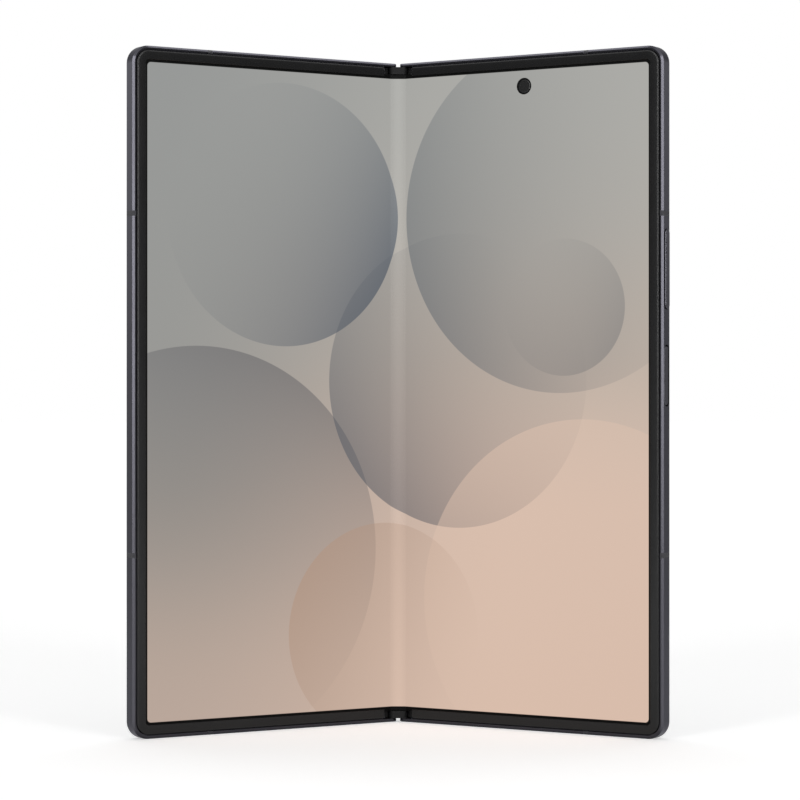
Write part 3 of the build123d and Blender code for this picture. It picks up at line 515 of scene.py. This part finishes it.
def supportMaterial():
    # Thin steel with rows of slits beside the hinge, where the plate has to flex
    look = {"slitLength": 3.0, "slitPitch": 0.8}
    material, tree, shader = startMaterial("supportSteel", {"Metallic": 1.0})
    place = objectPlace(tree)
    bricks = addNode(
        tree, "TexBrick",
        {
            "Vector": vectorCalc(tree, "MULTIPLY", place, (1.0, 1.0, 1.0)), "Scale": 1.0, "Mortar Size": 0.08,
            "Mortar Smooth": 0.3, "Brick Width": look["slitLength"], "Row Height": look["slitPitch"],
        },
    ).outputs["Fac"]
    lines = noise(tree, vectorCalc(tree, "MULTIPLY", place, (1.0, 1.0, 0.04)), 0.08, detail=3.0)
    tone = mixColour(tree, lines, (0.3, 0.3, 0.31, 1), (0.44, 0.44, 0.45, 1))
    tree.links.new(mixColour(tree, calc(tree, "MULTIPLY", bricks, 0.7), tone, (0.05, 0.05, 0.05, 1)), shader.inputs["Base Color"])
    tree.links.new(spread(tree, lines, 0.3, 0.7, 0.25, 0.4), shader.inputs["Roughness"])
    return material


boardMask = boardMaterial()
batteryWrap = batteryMaterial()
coilCopper = coilMaterial()
supportSteel = supportMaterial()
print("inner finishes made")

finishOfSlot = {
    "dark_metal": frameMetal,
    "key_metal": keyMetal,
    "tray_metal": keyMetal,
    "rim_plastic": rimPlastic,
    "band_plastic": bandPlastic,
    "display_screen": blackPlastic,
    "dark_glass": backGlass,
    "lens_glass": lensBlack,
    "island_metal": islandMetal,
    "steel": plainSteel,
    "screw_steel": screwSteel,
    "circuit_board": boardMask,
    "battery_wrap": batteryWrap,
    "coil_copper": coilCopper,
    "black_plastic": blackPlastic,
    "flash_lens": lensBlack,
}
finishOfNode = {
    "spine_cover": spineMetal,
    "lower_end_cap": capPlastic,
    "upper_end_cap": capPlastic,
    "cover_glass": coverGlass,
    "left_support_plate": supportSteel,
    "right_support_plate": supportSteel,
    "loudspeaker": speakerPlastic,
    "top_speaker": speakerPlastic,
    "earpiece": speakerPlastic,
    "left_hinge_arms": gearSteel,
    "right_hinge_arms": gearSteel,
}
for name, node in nodes.items():
    for held in node.material_slots:
        slotName = held.material.name.split(".")[0]
        held.material = finishOfNode.get(name) or finishOfSlot.get(slotName, blackPlastic)
    if name.endswith(("gear_left", "gear_right")):
        node.material_slots[0].material = gearSteel
print("finishes given to the frame's nodes")


# Meshes


def makePiece(name, mesh, materials, body, sharp=32):
    mesh.normal_update()
    data = bpy.data.meshes.new(name)
    mesh.to_mesh(data)
    mesh.free()
    for material in materials:
        data.materials.append(material)
    data.shade_smooth()
    data.set_sharp_from_angle(angle=math.radians(sharp))
    piece = bpy.data.objects.new(name, data)
    bpy.context.scene.collection.objects.link(piece)
    if body:
        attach(piece, body)
    return piece


def turn(mesh, profile, place, forward, steps=96):
    # A turned form: the profile gives radius, distance along the axis, and the finish of the band after it
    side = forward.orthogonal().normalized()
    up = forward.cross(side)
    rings = []
    for radius, along, _ in profile:
        centre = place + forward * along * mm
        if radius == 0:
            rings.append([mesh.verts.new(centre)])
            continue
        ring = []
        for step in range(steps):
            angle = 2 * math.pi * step / steps
            ring.append(mesh.verts.new(centre + (side * math.cos(angle) + up * math.sin(angle)) * radius * mm))
        rings.append(ring)
    for (inner, outer), (_, _, finish) in zip(zip(rings, rings[1:]), profile):
        for step in range(steps):
            after = (step + 1) % steps
            corners = []
            for ring, index in ((inner, step), (inner, after), (outer, after), (outer, step)):
                vertex = ring[index % len(ring)]
                if vertex not in corners:
                    corners.append(vertex)
            face = mesh.faces.new(corners)
            face.material_index = finish
    bmesh.ops.recalc_face_normals(mesh, faces=mesh.faces)


def dome(radius, rise, steps, base, finish):
    # Profile of a cap from its edge to its middle
    points = []
    for step in range(steps + 1):
        angle = math.pi / 2 * step / steps
        points.append((radius * math.cos(angle) if step < steps else 0, base + rise * math.sin(angle), finish))
    return points


displayPicture = pictureMaterial()


def displaySheet(out, name, bodyNodes, withWindow):
    mesh = bmesh.new()
    flat = {}
    low, high = display["border"], phone["height"] - display["border"]
    far = phone["halfWidth"] - display["border"]
    thickness = phone["displayThickness"]
    _, _, forward = acrossHalf(out)
    curve = bendCurve(out)
    lengths = curveLengths(curve)
    sheets = {"front": [], "back": []}
    # Over the hinge the sheet is thinner, which leaves the gears room when the phone is closed
    for index, (point, tangent) in enumerate(curve):
        share = display["bendThickness"] + (1 - display["bendThickness"]) * index / display["bendSteps"]
        normal = Vector((-tangent.y * out, tangent.x * out, 0))
        for face, offset in (("front", 0.0), ("back", thickness * share)):
            pair = []
            for z in (low, high):
                vertex = mesh.verts.new(point + normal * offset * mm + Vector((0, 0, z)) * mm)
                flat[vertex] = (out * lengths[index], z)
                pair.append(vertex)
            sheets[face].append(pair)
    border = []
    for face, pairs in sheets.items():
        for first, second in zip(pairs, pairs[1:]):
            made = mesh.faces.new((first[0], second[0], second[1], first[1]))
            made.material_index = 0 if face == "front" else 1
    for end in (0, 1):
        for index in range(display["bendSteps"]):
            corners = [sheets["front"][index][end], sheets["front"][index + 1][end]]
            corners += [sheets["back"][index + 1][end], sheets["back"][index][end]]
            mesh.faces.new(corners).material_index = 1
    front, back = sheets["front"][0], sheets["back"][0]
    mesh.faces.new((front[0], front[1], back[1], back[0])).material_index = 1
    # The flat part, from the bend to the rounded outer corners
    radius = display["corner"]
    outline = []
    for centreZ, startAngle in ((low + radius, -90), (high - radius, 0)):
        for step in range(display["cornerSteps"] + 1):
            angle = math.radians(startAngle + 90 * step / display["cornerSteps"])
            outline.append((far - radius + radius * math.cos(angle), centreZ + radius * math.sin(angle)))
    window = []
    if withWindow:
        for step in range(display["windowSteps"]):
            angle = 2 * math.pi * step / display["windowSteps"]
            s = display["window"][0] + display["windowRadius"] * math.cos(angle)
            window.append((s, display["window"][1] + display["windowRadius"] * math.sin(angle)))
    loops = {}
    for face, h in (("front", phone["displayFront"]), ("back", phone["displayFront"] - thickness)):
        ends = sheets[face][-1]
        ring = [ends[0]]
        for s, z in outline:
            vertex = mesh.verts.new(onHalf(out, s, z, h))
            flat[vertex] = (out * (s - hingeSlack), z)
            ring.append(vertex)
        ring.append(ends[1])
        hole = []
        for s, z in window:
            vertex = mesh.verts.new(onHalf(out, s, z, h))
            flat[vertex] = (out * (s - hingeSlack), z)
            hole.append(vertex)
        edges = []
        for loop in filter(None, (ring, hole)):
            for first, second in zip(loop, loop[1:] + loop[:1]):
                edges.append(mesh.edges.get((first, second)) or mesh.edges.new((first, second)))
        made = bmesh.ops.triangle_fill(mesh, use_beauty=True, use_dissolve=False, edges=edges)
        for item in made["geom"]:
            if isinstance(item, bmesh.types.BMFace):
                item.material_index = 0 if face == "front" else 1
        loops[face] = (ring, hole)
    for which in (0, 1):
        frontLoop, backLoop = loops["front"][which], loops["back"][which]
        closed = which == 1
        count = len(frontLoop) if closed else len(frontLoop) - 1
        for index in range(count if frontLoop else 0):
            after = (index + 1) % len(frontLoop)
            made = mesh.faces.new((frontLoop[index], frontLoop[after], backLoop[after], backLoop[index]))
            made.material_index = 1
    bmesh.ops.recalc_face_normals(mesh, faces=mesh.faces)
    layer = mesh.loops.layers.uv.new("flat")
    for face in mesh.faces:
        for corner in face.loops:
            s, z = flat[corner.vert]
            corner[layer].uv = (s * mm, z * mm)
    piece = makePiece(name, mesh, [displayPicture, blackPlastic], None, sharp=40)
    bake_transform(piece)
    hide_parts(*bodyNodes)
    return piece


displaySheet(-1, "displayLeft", ("inner_display_left", "inner_display_bend_left"), False)
displaySheet(1, "displayRight", ("inner_display_right", "inner_display_bend_right"), True)
print("inner display made")


# The raised rim round each half's display: one section, swept from the hinge round to the hinge

rim = {
    "near": 4.66,
    "outer": 1.0,
    "inner": 3.15,
    "seat": 2.65,
    "foot": 3.2,
    "ledge": 3.85,
    "top": 4.2,
    "outerRound": 0.4,
    "innerRound": 0.06,
    "endRound": 0.45,
    "corner": 4.0,
    "cornerSteps": 14,
}


def rimSection(sizes):
    # Inset from the half's edge and height above its back, going round the section
    outer, inner, top, radius = sizes["outer"], sizes["inner"], sizes["top"], sizes["outerRound"]
    points = [(outer, sizes["foot"])]
    for step in range(7):
        angle = math.radians(180 - 15 * step)
        points.append((outer + radius + radius * math.cos(angle), top - radius + radius * math.sin(angle)))
    radius = sizes["innerRound"]
    points += [(inner - radius, top), (inner, top - radius), (inner, sizes["ledge"])]
    return points + [(sizes["seat"], sizes["ledge"]), (sizes["seat"], sizes["foot"])]


def makeRim(out, name, body, sizes):
    mesh = bmesh.new()
    section = rimSection(sizes)
    far, high, corner = phone["halfWidth"], phone["height"], sizes["corner"]
    # Each station: a function that puts an inset on the plan of the half
    stations = []
    endSteps = 6
    for step in range(endSteps + 1):
        angle = math.radians(90 * step / endSteps)
        shift = sizes["endRound"] * (1 - math.sin(angle))
        s = sizes["near"] + sizes["endRound"] * (1 - math.cos(angle))
        stations.append(lambda inset, s=s, shift=shift: (s, max(inset, sizes["outer"] + shift)))
    for step in range(sizes["cornerSteps"] + 1):
        angle = math.radians(-90 + 90 * step / sizes["cornerSteps"])
        stations.append(
            lambda inset, a=angle: (
                far - corner + (corner - inset) * math.cos(a), corner + (corner - inset) * math.sin(a)
            )
        )
    lower = [[place(inset) for inset, _ in section] for place in stations]
    upper = [[(s, high - z) for s, z in row] for row in reversed(lower)]
    rings = [[mesh.verts.new(onHalf(out, *place, h)) for place, (_, h) in zip(row, section)] for row in lower + upper]
    for first, second in zip(rings, rings[1:]):
        for index in range(len(section)):
            after = (index + 1) % len(section)
            mesh.faces.new((first[index], second[index], second[after], first[after]))
    mesh.faces.new(rings[0])
    mesh.faces.new(rings[-1])
    bmesh.ops.remove_doubles(mesh, verts=mesh.verts, dist=1e-8)
    bmesh.ops.recalc_face_normals(mesh, faces=mesh.faces)
    piece = makePiece(name, mesh, [rimPlastic], body, sharp=40)
    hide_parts(body.replace("half", "rim"))


makeRim(-1, "rimLeft", "left_half", rim)
makeRim(1, "rimRight", "right_half", rim)
print("rims made")


# Cameras: a module with its barrel, stepped baffles and a domed front lens, behind a flat window

lensGlow = {"tint": (0.10, 0.05, 0.16, 1), "clear": (0.6, 0.62, 0.66, 1)}


def coatedLens(name, tint):
    # A dark lens under its coating. Its base colour is painted in one tint where the surface is seen at a grazing
    # angle: a painted sheen.
    material, tree, shader = startMaterial(name, {"Specular IOR Level": 0.35, "Coat Weight": 0.5, "Coat Roughness": 0.02})
    shader.inputs["Coat Tint"].default_value = tint
    place = objectPlace(tree)
    paintedSheenShare = addNode(tree, "LayerWeight", {"Blend": 0.35}).outputs["Facing"]
    haze = noise(tree, place, 1.4, detail=2.0)
    # Painted sheen: the base colour turns to the coating's tint at grazing angles
    tone = mixColour(tree, paintedSheenShare, (0.003, 0.003, 0.005, 1), darker(tint, 0.25))
    tree.links.new(tone, shader.inputs["Base Color"])
    tree.links.new(spread(tree, haze, 0.3, 0.7, 0.03, 0.07), shader.inputs["Roughness"])
    return material


def clearGlass(name):
    material, tree, shader = startMaterial(name, {"Transmission Weight": 1.0, "IOR": 1.45, "Specular IOR Level": 0.15})
    place = objectPlace(tree)
    smears = noise(tree, place, 6.0, detail=4.0)
    tree.links.new(spread(tree, smears, 0.3, 0.8, 0.0, 0.03), shader.inputs["Roughness"])
    shader.inputs["Base Color"].default_value = (0.86, 0.88, 0.9, 1)
    return material


violetLens = coatedLens("violetLens", (0.42, 0.25, 0.75, 1))
greenLens = coatedLens("greenLens", (0.25, 0.62, 0.5, 1))
windowGlass = clearGlass("windowGlass")
baffleBlack = grained(
    "baffleBlack", (0.004, 0.004, 0.0045, 1), 0.12, {"Specular IOR Level": 0.1}, roughness=(0.4, 0.55), depth=0.004
)
ringMetal = anodised("ringMetal", (0.085, 0.085, 0.098, 1), (0.16, 0.24))

rearCamera = {
    "ringRadius": 7.3,
    "ringBack": -2.9,
    "ringFoot": -1.6,
    "ringRound": 0.3,
    "windowRadius": 5.6,
    "windowClear": 4.25,
    "windowBack": -2.8,
    "windowFront": -2.3,
    "barrelRadius": 5.0,
    "barrelBack": -2.25,
    "moduleSide": 11.5,
    "moduleBack": 1.0,
    "moduleFront": 2.85,
    "moduleRound": 0.8,
    "places": {"ultrawide_camera": 141.0, "main_camera": 122.6, "telephoto_camera": 104.2},
    "s": 54.0,
    "lens": {"ultrawide_camera": 1.9, "main_camera": 2.6, "telephoto_camera": 1.5},
}


def block(mesh, out, near, far, low, high, back, front, rounding, finish, steps=5):
    # A slab on a half with round upright corners
    outline = []
    for s, z, startAngle in ((far, low, -90), (far, high, 0), (near, high, 90), (near, low, 180)):
        cs = s - rounding if s == far else s + rounding
        cz = z - rounding if z == high else z + rounding
        for step in range(steps + 1):
            angle = math.radians(startAngle + 90 * step / steps)
            outline.append((cs + rounding * math.cos(angle), cz + rounding * math.sin(angle)))
    rings = [[mesh.verts.new(onHalf(out, s, z, h)) for s, z in outline] for h in (back, front)]
    for index in range(len(outline)):
        after = (index + 1) % len(outline)
        face = mesh.faces.new((rings[0][index], rings[0][after], rings[1][after], rings[1][index]))
        face.material_index = finish
    for ring in rings:
        mesh.faces.new(ring).material_index = finish


def cameraModule(name, sizes):
    z = sizes["places"][name]
    half = sizes["moduleSide"] / 2
    _, _, forward = acrossHalf(1)
    mesh = bmesh.new()
    block(mesh, 1, sizes["s"] - half, sizes["s"] + half, z - half, z + half, sizes["moduleBack"], sizes["moduleFront"], sizes["moduleRound"], 0)
    lens = sizes["lens"][name]
    back, foot = sizes["barrelBack"], sizes["moduleBack"]
    radius = sizes["barrelRadius"]
    profile = [(radius, foot, 0), (radius, back + 0.1, 0), (radius - 0.1, back, 0), (4.4, back, 1)]
    # Baffles step down to the lens, each with a bright edge
    steps = 4
    run = (4.4 - lens - 0.5) / steps
    for step in range(steps):
        edge = 4.4 - run * step
        depth = back + 0.12 + 0.3 * step
        profile += [(edge, depth, 1), (edge - run + 0.06, depth + 0.06, 1), (edge - run, depth + 0.1, 1)]
    base = back + 1.55
    profile += [(lens + 0.5, base, 3), (lens + 0.25, base - 0.12, 3), (lens, base, 2)]
    profile += [(r, along, 2) for r, along, _ in dome(lens, -0.9, 12, base, 2)[1:]]
    turn(mesh, profile, onHalf(1, sizes["s"], z, 0), forward)
    tinted = greenLens if name == "main_camera" else violetLens
    piece = makePiece(name + "_module", mesh, [plainSteel, baffleBlack, tinted, ringMetal], "right_half")
    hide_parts(name)


def cameraWindows(sizes):
    # Windows of clear glass with a black ring printed behind the edge
    mesh = bmesh.new()
    _, _, forward = acrossHalf(1)
    back, front, clear, radius = sizes["windowBack"], sizes["windowFront"], sizes["windowClear"], sizes["windowRadius"]
    for z in sizes["places"].values():
        profile = [
            (0, back, 0), (clear, back, 1), (radius - 0.12, back, 1), (radius, back + 0.12, 1),
            (radius, front, 1), (clear, front, 0), (0, front, 0),
        ]
        turn(mesh, profile, onHalf(1, sizes["s"], z, 0), forward)
    piece = makePiece("cameraWindows", mesh, [windowGlass, lensBlack], "right_half")
    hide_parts("camera_lenses")


def cameraRings(sizes):
    mesh = bmesh.new()
    _, _, forward = acrossHalf(1)
    back, foot, radius, rounding = sizes["ringBack"], sizes["ringFoot"], sizes["ringRadius"], sizes["ringRound"]
    inner = sizes["windowRadius"] + 0.05
    for z in sizes["places"].values():
        profile = [(inner, foot, 0), (radius, foot, 0), (radius, foot - 0.12, 0), (radius - 0.08, foot - 0.2, 0), (radius - 0.08, foot - 0.36, 0), (radius, foot - 0.44, 0)]
        for step in range(7):
            angle = math.pi / 2 * step / 6
            profile.append((radius - rounding + rounding * math.cos(angle), back + rounding - rounding * math.sin(angle), 0))
        profile += [(inner + 0.5, back, 0), (inner + 0.12, back + 0.14, 0), (inner, back + 0.26, 0), (inner, foot, 0)]
        turn(mesh, profile, onHalf(1, sizes["s"], z, 0), forward, steps=128)
    bmesh.ops.remove_doubles(mesh, verts=mesh.verts, dist=1e-7)
    piece = makePiece("cameraRings", mesh, [ringMetal], "right_half")
    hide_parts("camera_rings")


for name in rearCamera["places"]:
    cameraModule(name, rearCamera)
cameraWindows(rearCamera)
cameraRings(rearCamera)

smallCameras = {
    "inner_camera": {
        "out": 1, "at": (35.3, 151.0), "side": 7.0, "back": 1.0, "front": 2.85, "round": 0.15,
        "radius": 1.85, "eye": 3.8, "lens": 1.5, "body": "right_half", "towards": 1,
    },
    "cover_camera": {
        "out": -1, "at": (38.075, 149.5), "side": 6.0, "back": 1.0, "front": 2.85, "round": 0.15,
        "radius": 1.7, "eye": 0.55, "lens": 1.1, "body": "left_half", "towards": -1,
    },
}


def smallCamera(name, sizes):
    # A block with a short barrel: its black edge, and a slightly sunken lens that is a little lighter
    s, z = sizes["at"]
    half = sizes["side"] / 2
    _, _, forward = acrossHalf(sizes["out"])
    mesh = bmesh.new()
    block(mesh, sizes["out"], s - half, s + half, z - half, z + half, sizes["back"], sizes["front"], sizes["round"], 0)
    foot = sizes["front"] if sizes["towards"] > 0 else sizes["back"]
    eye, inward = sizes["eye"], -sizes["towards"]
    profile = [(sizes["radius"], foot, 0), (sizes["radius"], eye + 0.06 * inward, 1), (sizes["radius"] - 0.06, eye, 1)]
    profile += [(sizes["lens"] + 0.05, eye, 1), (sizes["lens"], eye + 0.08 * inward, 2)]
    profile += [(r, along, 2) for r, along, _ in dome(sizes["lens"], -0.05 * inward, 8, eye + 0.1 * inward, 2)]
    turn(mesh, profile, onHalf(sizes["out"], s, z, 0), forward, steps=64)
    piece = makePiece(name + "_module", mesh, [blackPlastic, baffleBlack, innerLens], sizes["body"])
    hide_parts(name)


innerLens = polishedGlass("innerLens", (0.0165, 0.0165, 0.017, 1), smudge=0.2)
for name, sizes in smallCameras.items():
    smallCamera(name, sizes)
print("cameras made")


# Flash: two emitters under a ribbed lens

flashLamp = {"at": (40.5, 131.8), "radius": 2.0, "back": -0.3, "front": 1.0, "ribs": 6, "ribHeight": 0.05}


def flashMaterial():
    low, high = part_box("flash")
    middle = (low + high) / 2 / mm
    material, tree, shader = startMaterial("flashLens", {"Coat Weight": 0.8, "Coat Roughness": 0.05})
    place = objectPlace(tree)
    offset = vectorCalc(tree, "SUBTRACT", place, middle)
    height = addNode(tree, "SeparateXYZ", {"Vector": offset}).outputs["Z"]
    away, _, _ = acrossHalf(1)
    across = vectorCalc(tree, "DOT_PRODUCT", offset, away)
    emitters = roundedBox(tree, across, calc(tree, "ABSOLUTE", height), 0.0, 0.62, 0.75, 0.45, 0.12, 0.1)
    tone = mixColour(tree, emitters, (0.5, 0.49, 0.45, 1), (0.75, 0.62, 0.16, 1))
    tree.links.new(tone, shader.inputs["Base Color"])
    tree.links.new(spread(tree, noise(tree, place, 0.5), 0.3, 0.7, 0.12, 0.25), shader.inputs["Roughness"])
    return material


def makeFlash(sizes):
    mesh = bmesh.new()
    _, _, forward = acrossHalf(1)
    radius, back, front = sizes["radius"], sizes["back"], sizes["front"]
    profile = [(0, front, 1), (radius, front, 1), (radius, back + 0.08, 1), (radius - 0.08, back, 1), (radius - 0.3, back, 0)]
    lensRadius = radius - 0.34
    for rib in range(sizes["ribs"]):
        edge = lensRadius * (1 - rib / sizes["ribs"])
        profile += [(edge, back + 0.1, 0), (edge - 0.07, back + 0.1 - sizes["ribHeight"], 0)]
    profile.append((0, back + 0.06, 0))
    turn(mesh, profile, onHalf(1, *sizes["at"], 0), forward, steps=64)
    piece = makePiece("flashLamp", mesh, [flashMaterial(), ringMetal], "right_half")
    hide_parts("flash")


makeFlash(flashLamp)
print("flash made")


# Contacts on the tongue of the charging socket

socket = {"s": 35.8, "h": 1.85, "low": 3.9, "high": 7.4, "pitch": 0.5, "width": 0.26, "count": 12, "tongue": 0.35, "thick": 0.03}


def makeContacts(sizes):
    gold = brushed("contactGold", (0.83, 0.6, 0.24, 1), (1.0, 1.0, 0.2), roughness=(0.2, 0.3))
    mesh = bmesh.new()
    for side in (-1, 1):
        for index in range(sizes["count"]):
            s = sizes["s"] + (index - (sizes["count"] - 1) / 2) * sizes["pitch"]
            level = sizes["h"] + side * sizes["tongue"]
            ends = sorted((level - side * 0.01, level + side * sizes["thick"]))
            block(mesh, 1, s - sizes["width"] / 2, s + sizes["width"] / 2, sizes["low"], sizes["high"], *ends, 0.05, 0, steps=2)
    bmesh.ops.recalc_face_normals(mesh, faces=mesh.faces)
    makePiece("socketContacts", mesh, [gold], "right_half")


makeContacts(socket)
print("socket contacts made")


# Fine mesh in the sound holes

soundHoles = {
    "radius": 0.49,
    "depth": 0.7,
    "thickness": 0.12,
    "height": 2.0,
    "pitch": 2.0,
    "rows": [
        {"out": 1, "body": "right_half", "middle": 59.75, "count": 6, "top": False},
        {"out": 1, "body": "right_half", "middle": 60.25, "count": 3, "top": True},
        {"out": -1, "body": "left_half", "middle": 46.075, "count": 3, "top": True},
    ],
}


def meshMaterial():
    # Woven wire: two crossed waves cut dark openings out of it
    material, tree, shader = startMaterial("soundMesh", {"Metallic": 1.0})
    place = objectPlace(tree)
    away, _, forward = acrossHalf(1)
    threads = []
    for direction in (away, forward):
        across = vectorCalc(tree, "DOT_PRODUCT", place, direction)
        threads.append(calc(tree, "PINGPONG", across, 0.06))
    weave = calc(tree, "MINIMUM", *threads)
    share = spread(tree, weave, 0.015, 0.03, 1.0, 0.0)
    tree.links.new(mixColour(tree, share, (0.004, 0.004, 0.004, 1), (0.1, 0.1, 0.11, 1)), shader.inputs["Base Color"])
    tree.links.new(spread(tree, share, 0.0, 1.0, 0.8, 0.35), shader.inputs["Roughness"])
    tree.links.new(bump(tree, share, 0.03), shader.inputs["Normal"])
    return material


def makeSoundMesh(index, row, sizes, material):
    mesh = bmesh.new()
    level = phone["height"] - sizes["depth"] if row["top"] else sizes["depth"]
    step = -sizes["thickness"] if row["top"] else sizes["thickness"]
    for hole in range(row["count"]):
        s = row["middle"] + sizes["pitch"] * (hole - (row["count"] - 1) / 2)
        profile = [(0, 0, 0), (sizes["radius"], 0, 0), (sizes["radius"], step, 0), (0, step, 0)]
        turn(mesh, profile, onHalf(row["out"], s, level, sizes["height"]), Vector((0, 0, 1)), steps=32)
    makePiece("soundMesh" + str(index + 1), mesh, [material], row["body"])


soundMesh = meshMaterial()
for index, row in enumerate(soundHoles["rows"]):
    makeSoundMesh(index, row, soundHoles, soundMesh)
print("sound meshes made")


# Stage, light and camera

stage = {
    "floorSize": 9.0,
    "floorDrop": 0.02,
    "floorColour": (0.8, 0.8, 0.8, 1),
    "floorLift": 0.42,
    "fadeStart": 0.2,
    "fadeEnd": 0.65,
    "floorMirror": (0.2, 0.6),
    "sideGlow": {"startX": 0.06, "startY": 0.02, "around": 0.585, "half": 0.16, "level": 1.35},
    "worldLight": 0.36,
    "frontMirror": {"low": 0.2, "high": 1.5, "from": 0.2, "to": 0.6},
    "backMirror": {"low": 0.5, "high": 1.5, "at": 0.13, "half": 0.13, "rightShare": 0.75},
}


def seenDirectly(tree):
    # First 1 for what the camera sees, also through glass, then 1 for what a mirror shows
    path = addNode(tree, "LightPath").outputs
    return calc(tree, "MAXIMUM", path["Is Camera Ray"], path["Is Transmission Ray"]), path["Is Glossy Ray"]


def makeFloor():
    mesh = bmesh.new()
    bmesh.ops.create_grid(mesh, x_segments=8, y_segments=8, size=stage["floorSize"])
    data = bpy.data.meshes.new("floor")
    mesh.to_mesh(data)
    mesh.free()
    floor = bpy.data.objects.new("floor", data)
    floor.location.z = -stage["floorDrop"] * mm
    bpy.context.scene.collection.objects.link(floor)
    # Paper that takes the phone's shadow near it and runs out into pure white
    material, tree, shader = startMaterial("floorPaper", {"Roughness": 0.9, "Specular IOR Level": 0.1})
    away = vectorCalc(tree, "LENGTH", addNode(tree, "TexCoord").outputs["Object"])
    fade = spread(tree, away, stage["fadeStart"], stage["fadeEnd"], 0.0, 1.0, smooth=True)
    tree.links.new(mixColour(tree, fade, stage["floorColour"], (0, 0, 0, 1)), shader.inputs["Base Color"])
    shader.inputs["Emission Color"].default_value = (1, 1, 1, 1)
    seen, mirrored = seenDirectly(tree)
    # In the phone's sides the floor is a little darker than white, and brighter under the two side lamps
    axes = addNode(tree, "SeparateXYZ", {"Vector": addNode(tree, "TexCoord").outputs["Object"]}).outputs
    glow = stage["sideGlow"]
    aside = calc(tree, "SUBTRACT", calc(tree, "ABSOLUTE", axes["X"]), glow["startX"])
    ahead = calc(tree, "SUBTRACT", -glow["startY"], axes["Y"])
    around = calc(tree, "ARCTAN2", aside, ahead)
    offLamp = calc(tree, "ABSOLUTE", calc(tree, "SUBTRACT", around, glow["around"]))
    lamps = spread(tree, offLamp, 0.0, glow["half"], glow["level"], 0.0, smooth=True)
    inMirror = calc(tree, "ADD", spread(tree, fade, 0.0, 1.0, *stage["floorMirror"]), lamps)
    direct = calc(tree, "MULTIPLY", seen, spread(tree, fade, 0.0, 1.0, stage["floorLift"], 1.0))
    tree.links.new(calc(tree, "MULTIPLY_ADD", mirrored, inMirror, direct), shader.inputs["Emission Strength"])
    data.materials.append(material)


def makeWorld():
    # White behind the phone for camera, glass and mirror, and a darker studio in front for the mirror
    world = bpy.data.worlds.new("studio")
    world.use_nodes = True
    tree = world.node_tree
    background = tree.nodes["Background"]
    background.inputs["Color"].default_value = (1, 1, 1, 1)
    seen, mirrored = seenDirectly(tree)
    axes = addNode(tree, "SeparateXYZ", {"Vector": addNode(tree, "TexCoord").outputs["Generated"]}).outputs
    # Behind, a soft strip of light low over the floor, stronger on the left
    behind = stage["backMirror"]
    offStrip = calc(tree, "ABSOLUTE", calc(tree, "SUBTRACT", axes["Z"], behind["at"]))
    strip = spread(tree, offStrip, 0.0, behind["half"], behind["high"], behind["low"])
    back = calc(tree, "MULTIPLY", strip, spread(tree, axes["X"], -0.85, 0.85, 1.0, behind["rightShare"]))
    share = spread(tree, axes["Y"], -0.35, 0.3, 0.0, 1.0, smooth=True)
    ahead = stage["frontMirror"]
    front = spread(tree, axes["Z"], ahead["from"], ahead["to"], ahead["low"], ahead["high"], smooth=True)
    reflection = calc(tree, "MULTIPLY_ADD", share, calc(tree, "SUBTRACT", back, front), front)
    unseen = spread(tree, mirrored, 0.0, 1.0, stage["worldLight"], reflection)
    strength = calc(tree, "MAXIMUM", seen, unseen)
    tree.links.new(strength, background.inputs["Strength"])
    bpy.context.scene.world = world


# Each softbox: where it stands round the object and how bright its face is, where 1 is white
softboxes = {
    "leftSoftbox": {"around": -33.5, "above": 17, "away": 1.3, "size": (0.2, 0.9), "face": 7.9},
    "rightSoftbox": {"around": 33.5, "above": 17, "away": 1.3, "size": (0.2, 0.9), "face": 7.9},
    "frontSoftbox": {"around": 0, "above": 6, "away": 1.3, "size": (0.16, 0.8), "face": 8.0},
    "topSoftbox": {"around": 180, "above": 66, "away": 1.1, "size": (0.95, 0.45), "face": 2.6},
}


def makeSoftbox(name, sizes):
    aim = Vector((0, 0, phone["height"] * mm / 2))
    around, above = math.radians(sizes["around"]), math.radians(sizes["above"])
    direction = Vector((math.sin(around) * math.cos(above), -math.cos(around) * math.cos(above), math.sin(above)))
    lamp = bpy.data.lights.new(name, "AREA")
    lamp.shape = "RECTANGLE"
    lamp.size, lamp.size_y = sizes["size"]
    lamp.energy = sizes["face"] * math.pi * lamp.size * lamp.size_y
    holder = bpy.data.objects.new(name, lamp)
    holder.location = aim + direction * sizes["away"]
    holder.rotation_euler = (-direction).to_track_quat("-Z", "Y").to_euler()
    bpy.context.scene.collection.objects.link(holder)


makeFloor()
makeWorld()
for name, sizes in softboxes.items():
    makeSoftbox(name, sizes)

viewpoint = {"place": (0.45, -660.46, 77.43), "lens": 126.55, "sensor": 36.0}
lensData = bpy.data.cameras.new("photoCamera")
lensData.lens = viewpoint["lens"]
lensData.sensor_width = viewpoint["sensor"]
lensData.clip_start, lensData.clip_end = 0.01, 50.0
photoCamera = bpy.data.objects.new("photoCamera", lensData)
photoCamera.location = Vector(viewpoint["place"]) * mm
photoCamera.rotation_euler = (math.radians(90), 0, 0)
bpy.context.scene.collection.objects.link(photoCamera)
bpy.context.scene.camera = photoCamera
bpy.context.scene.view_settings.view_transform = "Standard"
print("stage, light and camera made")
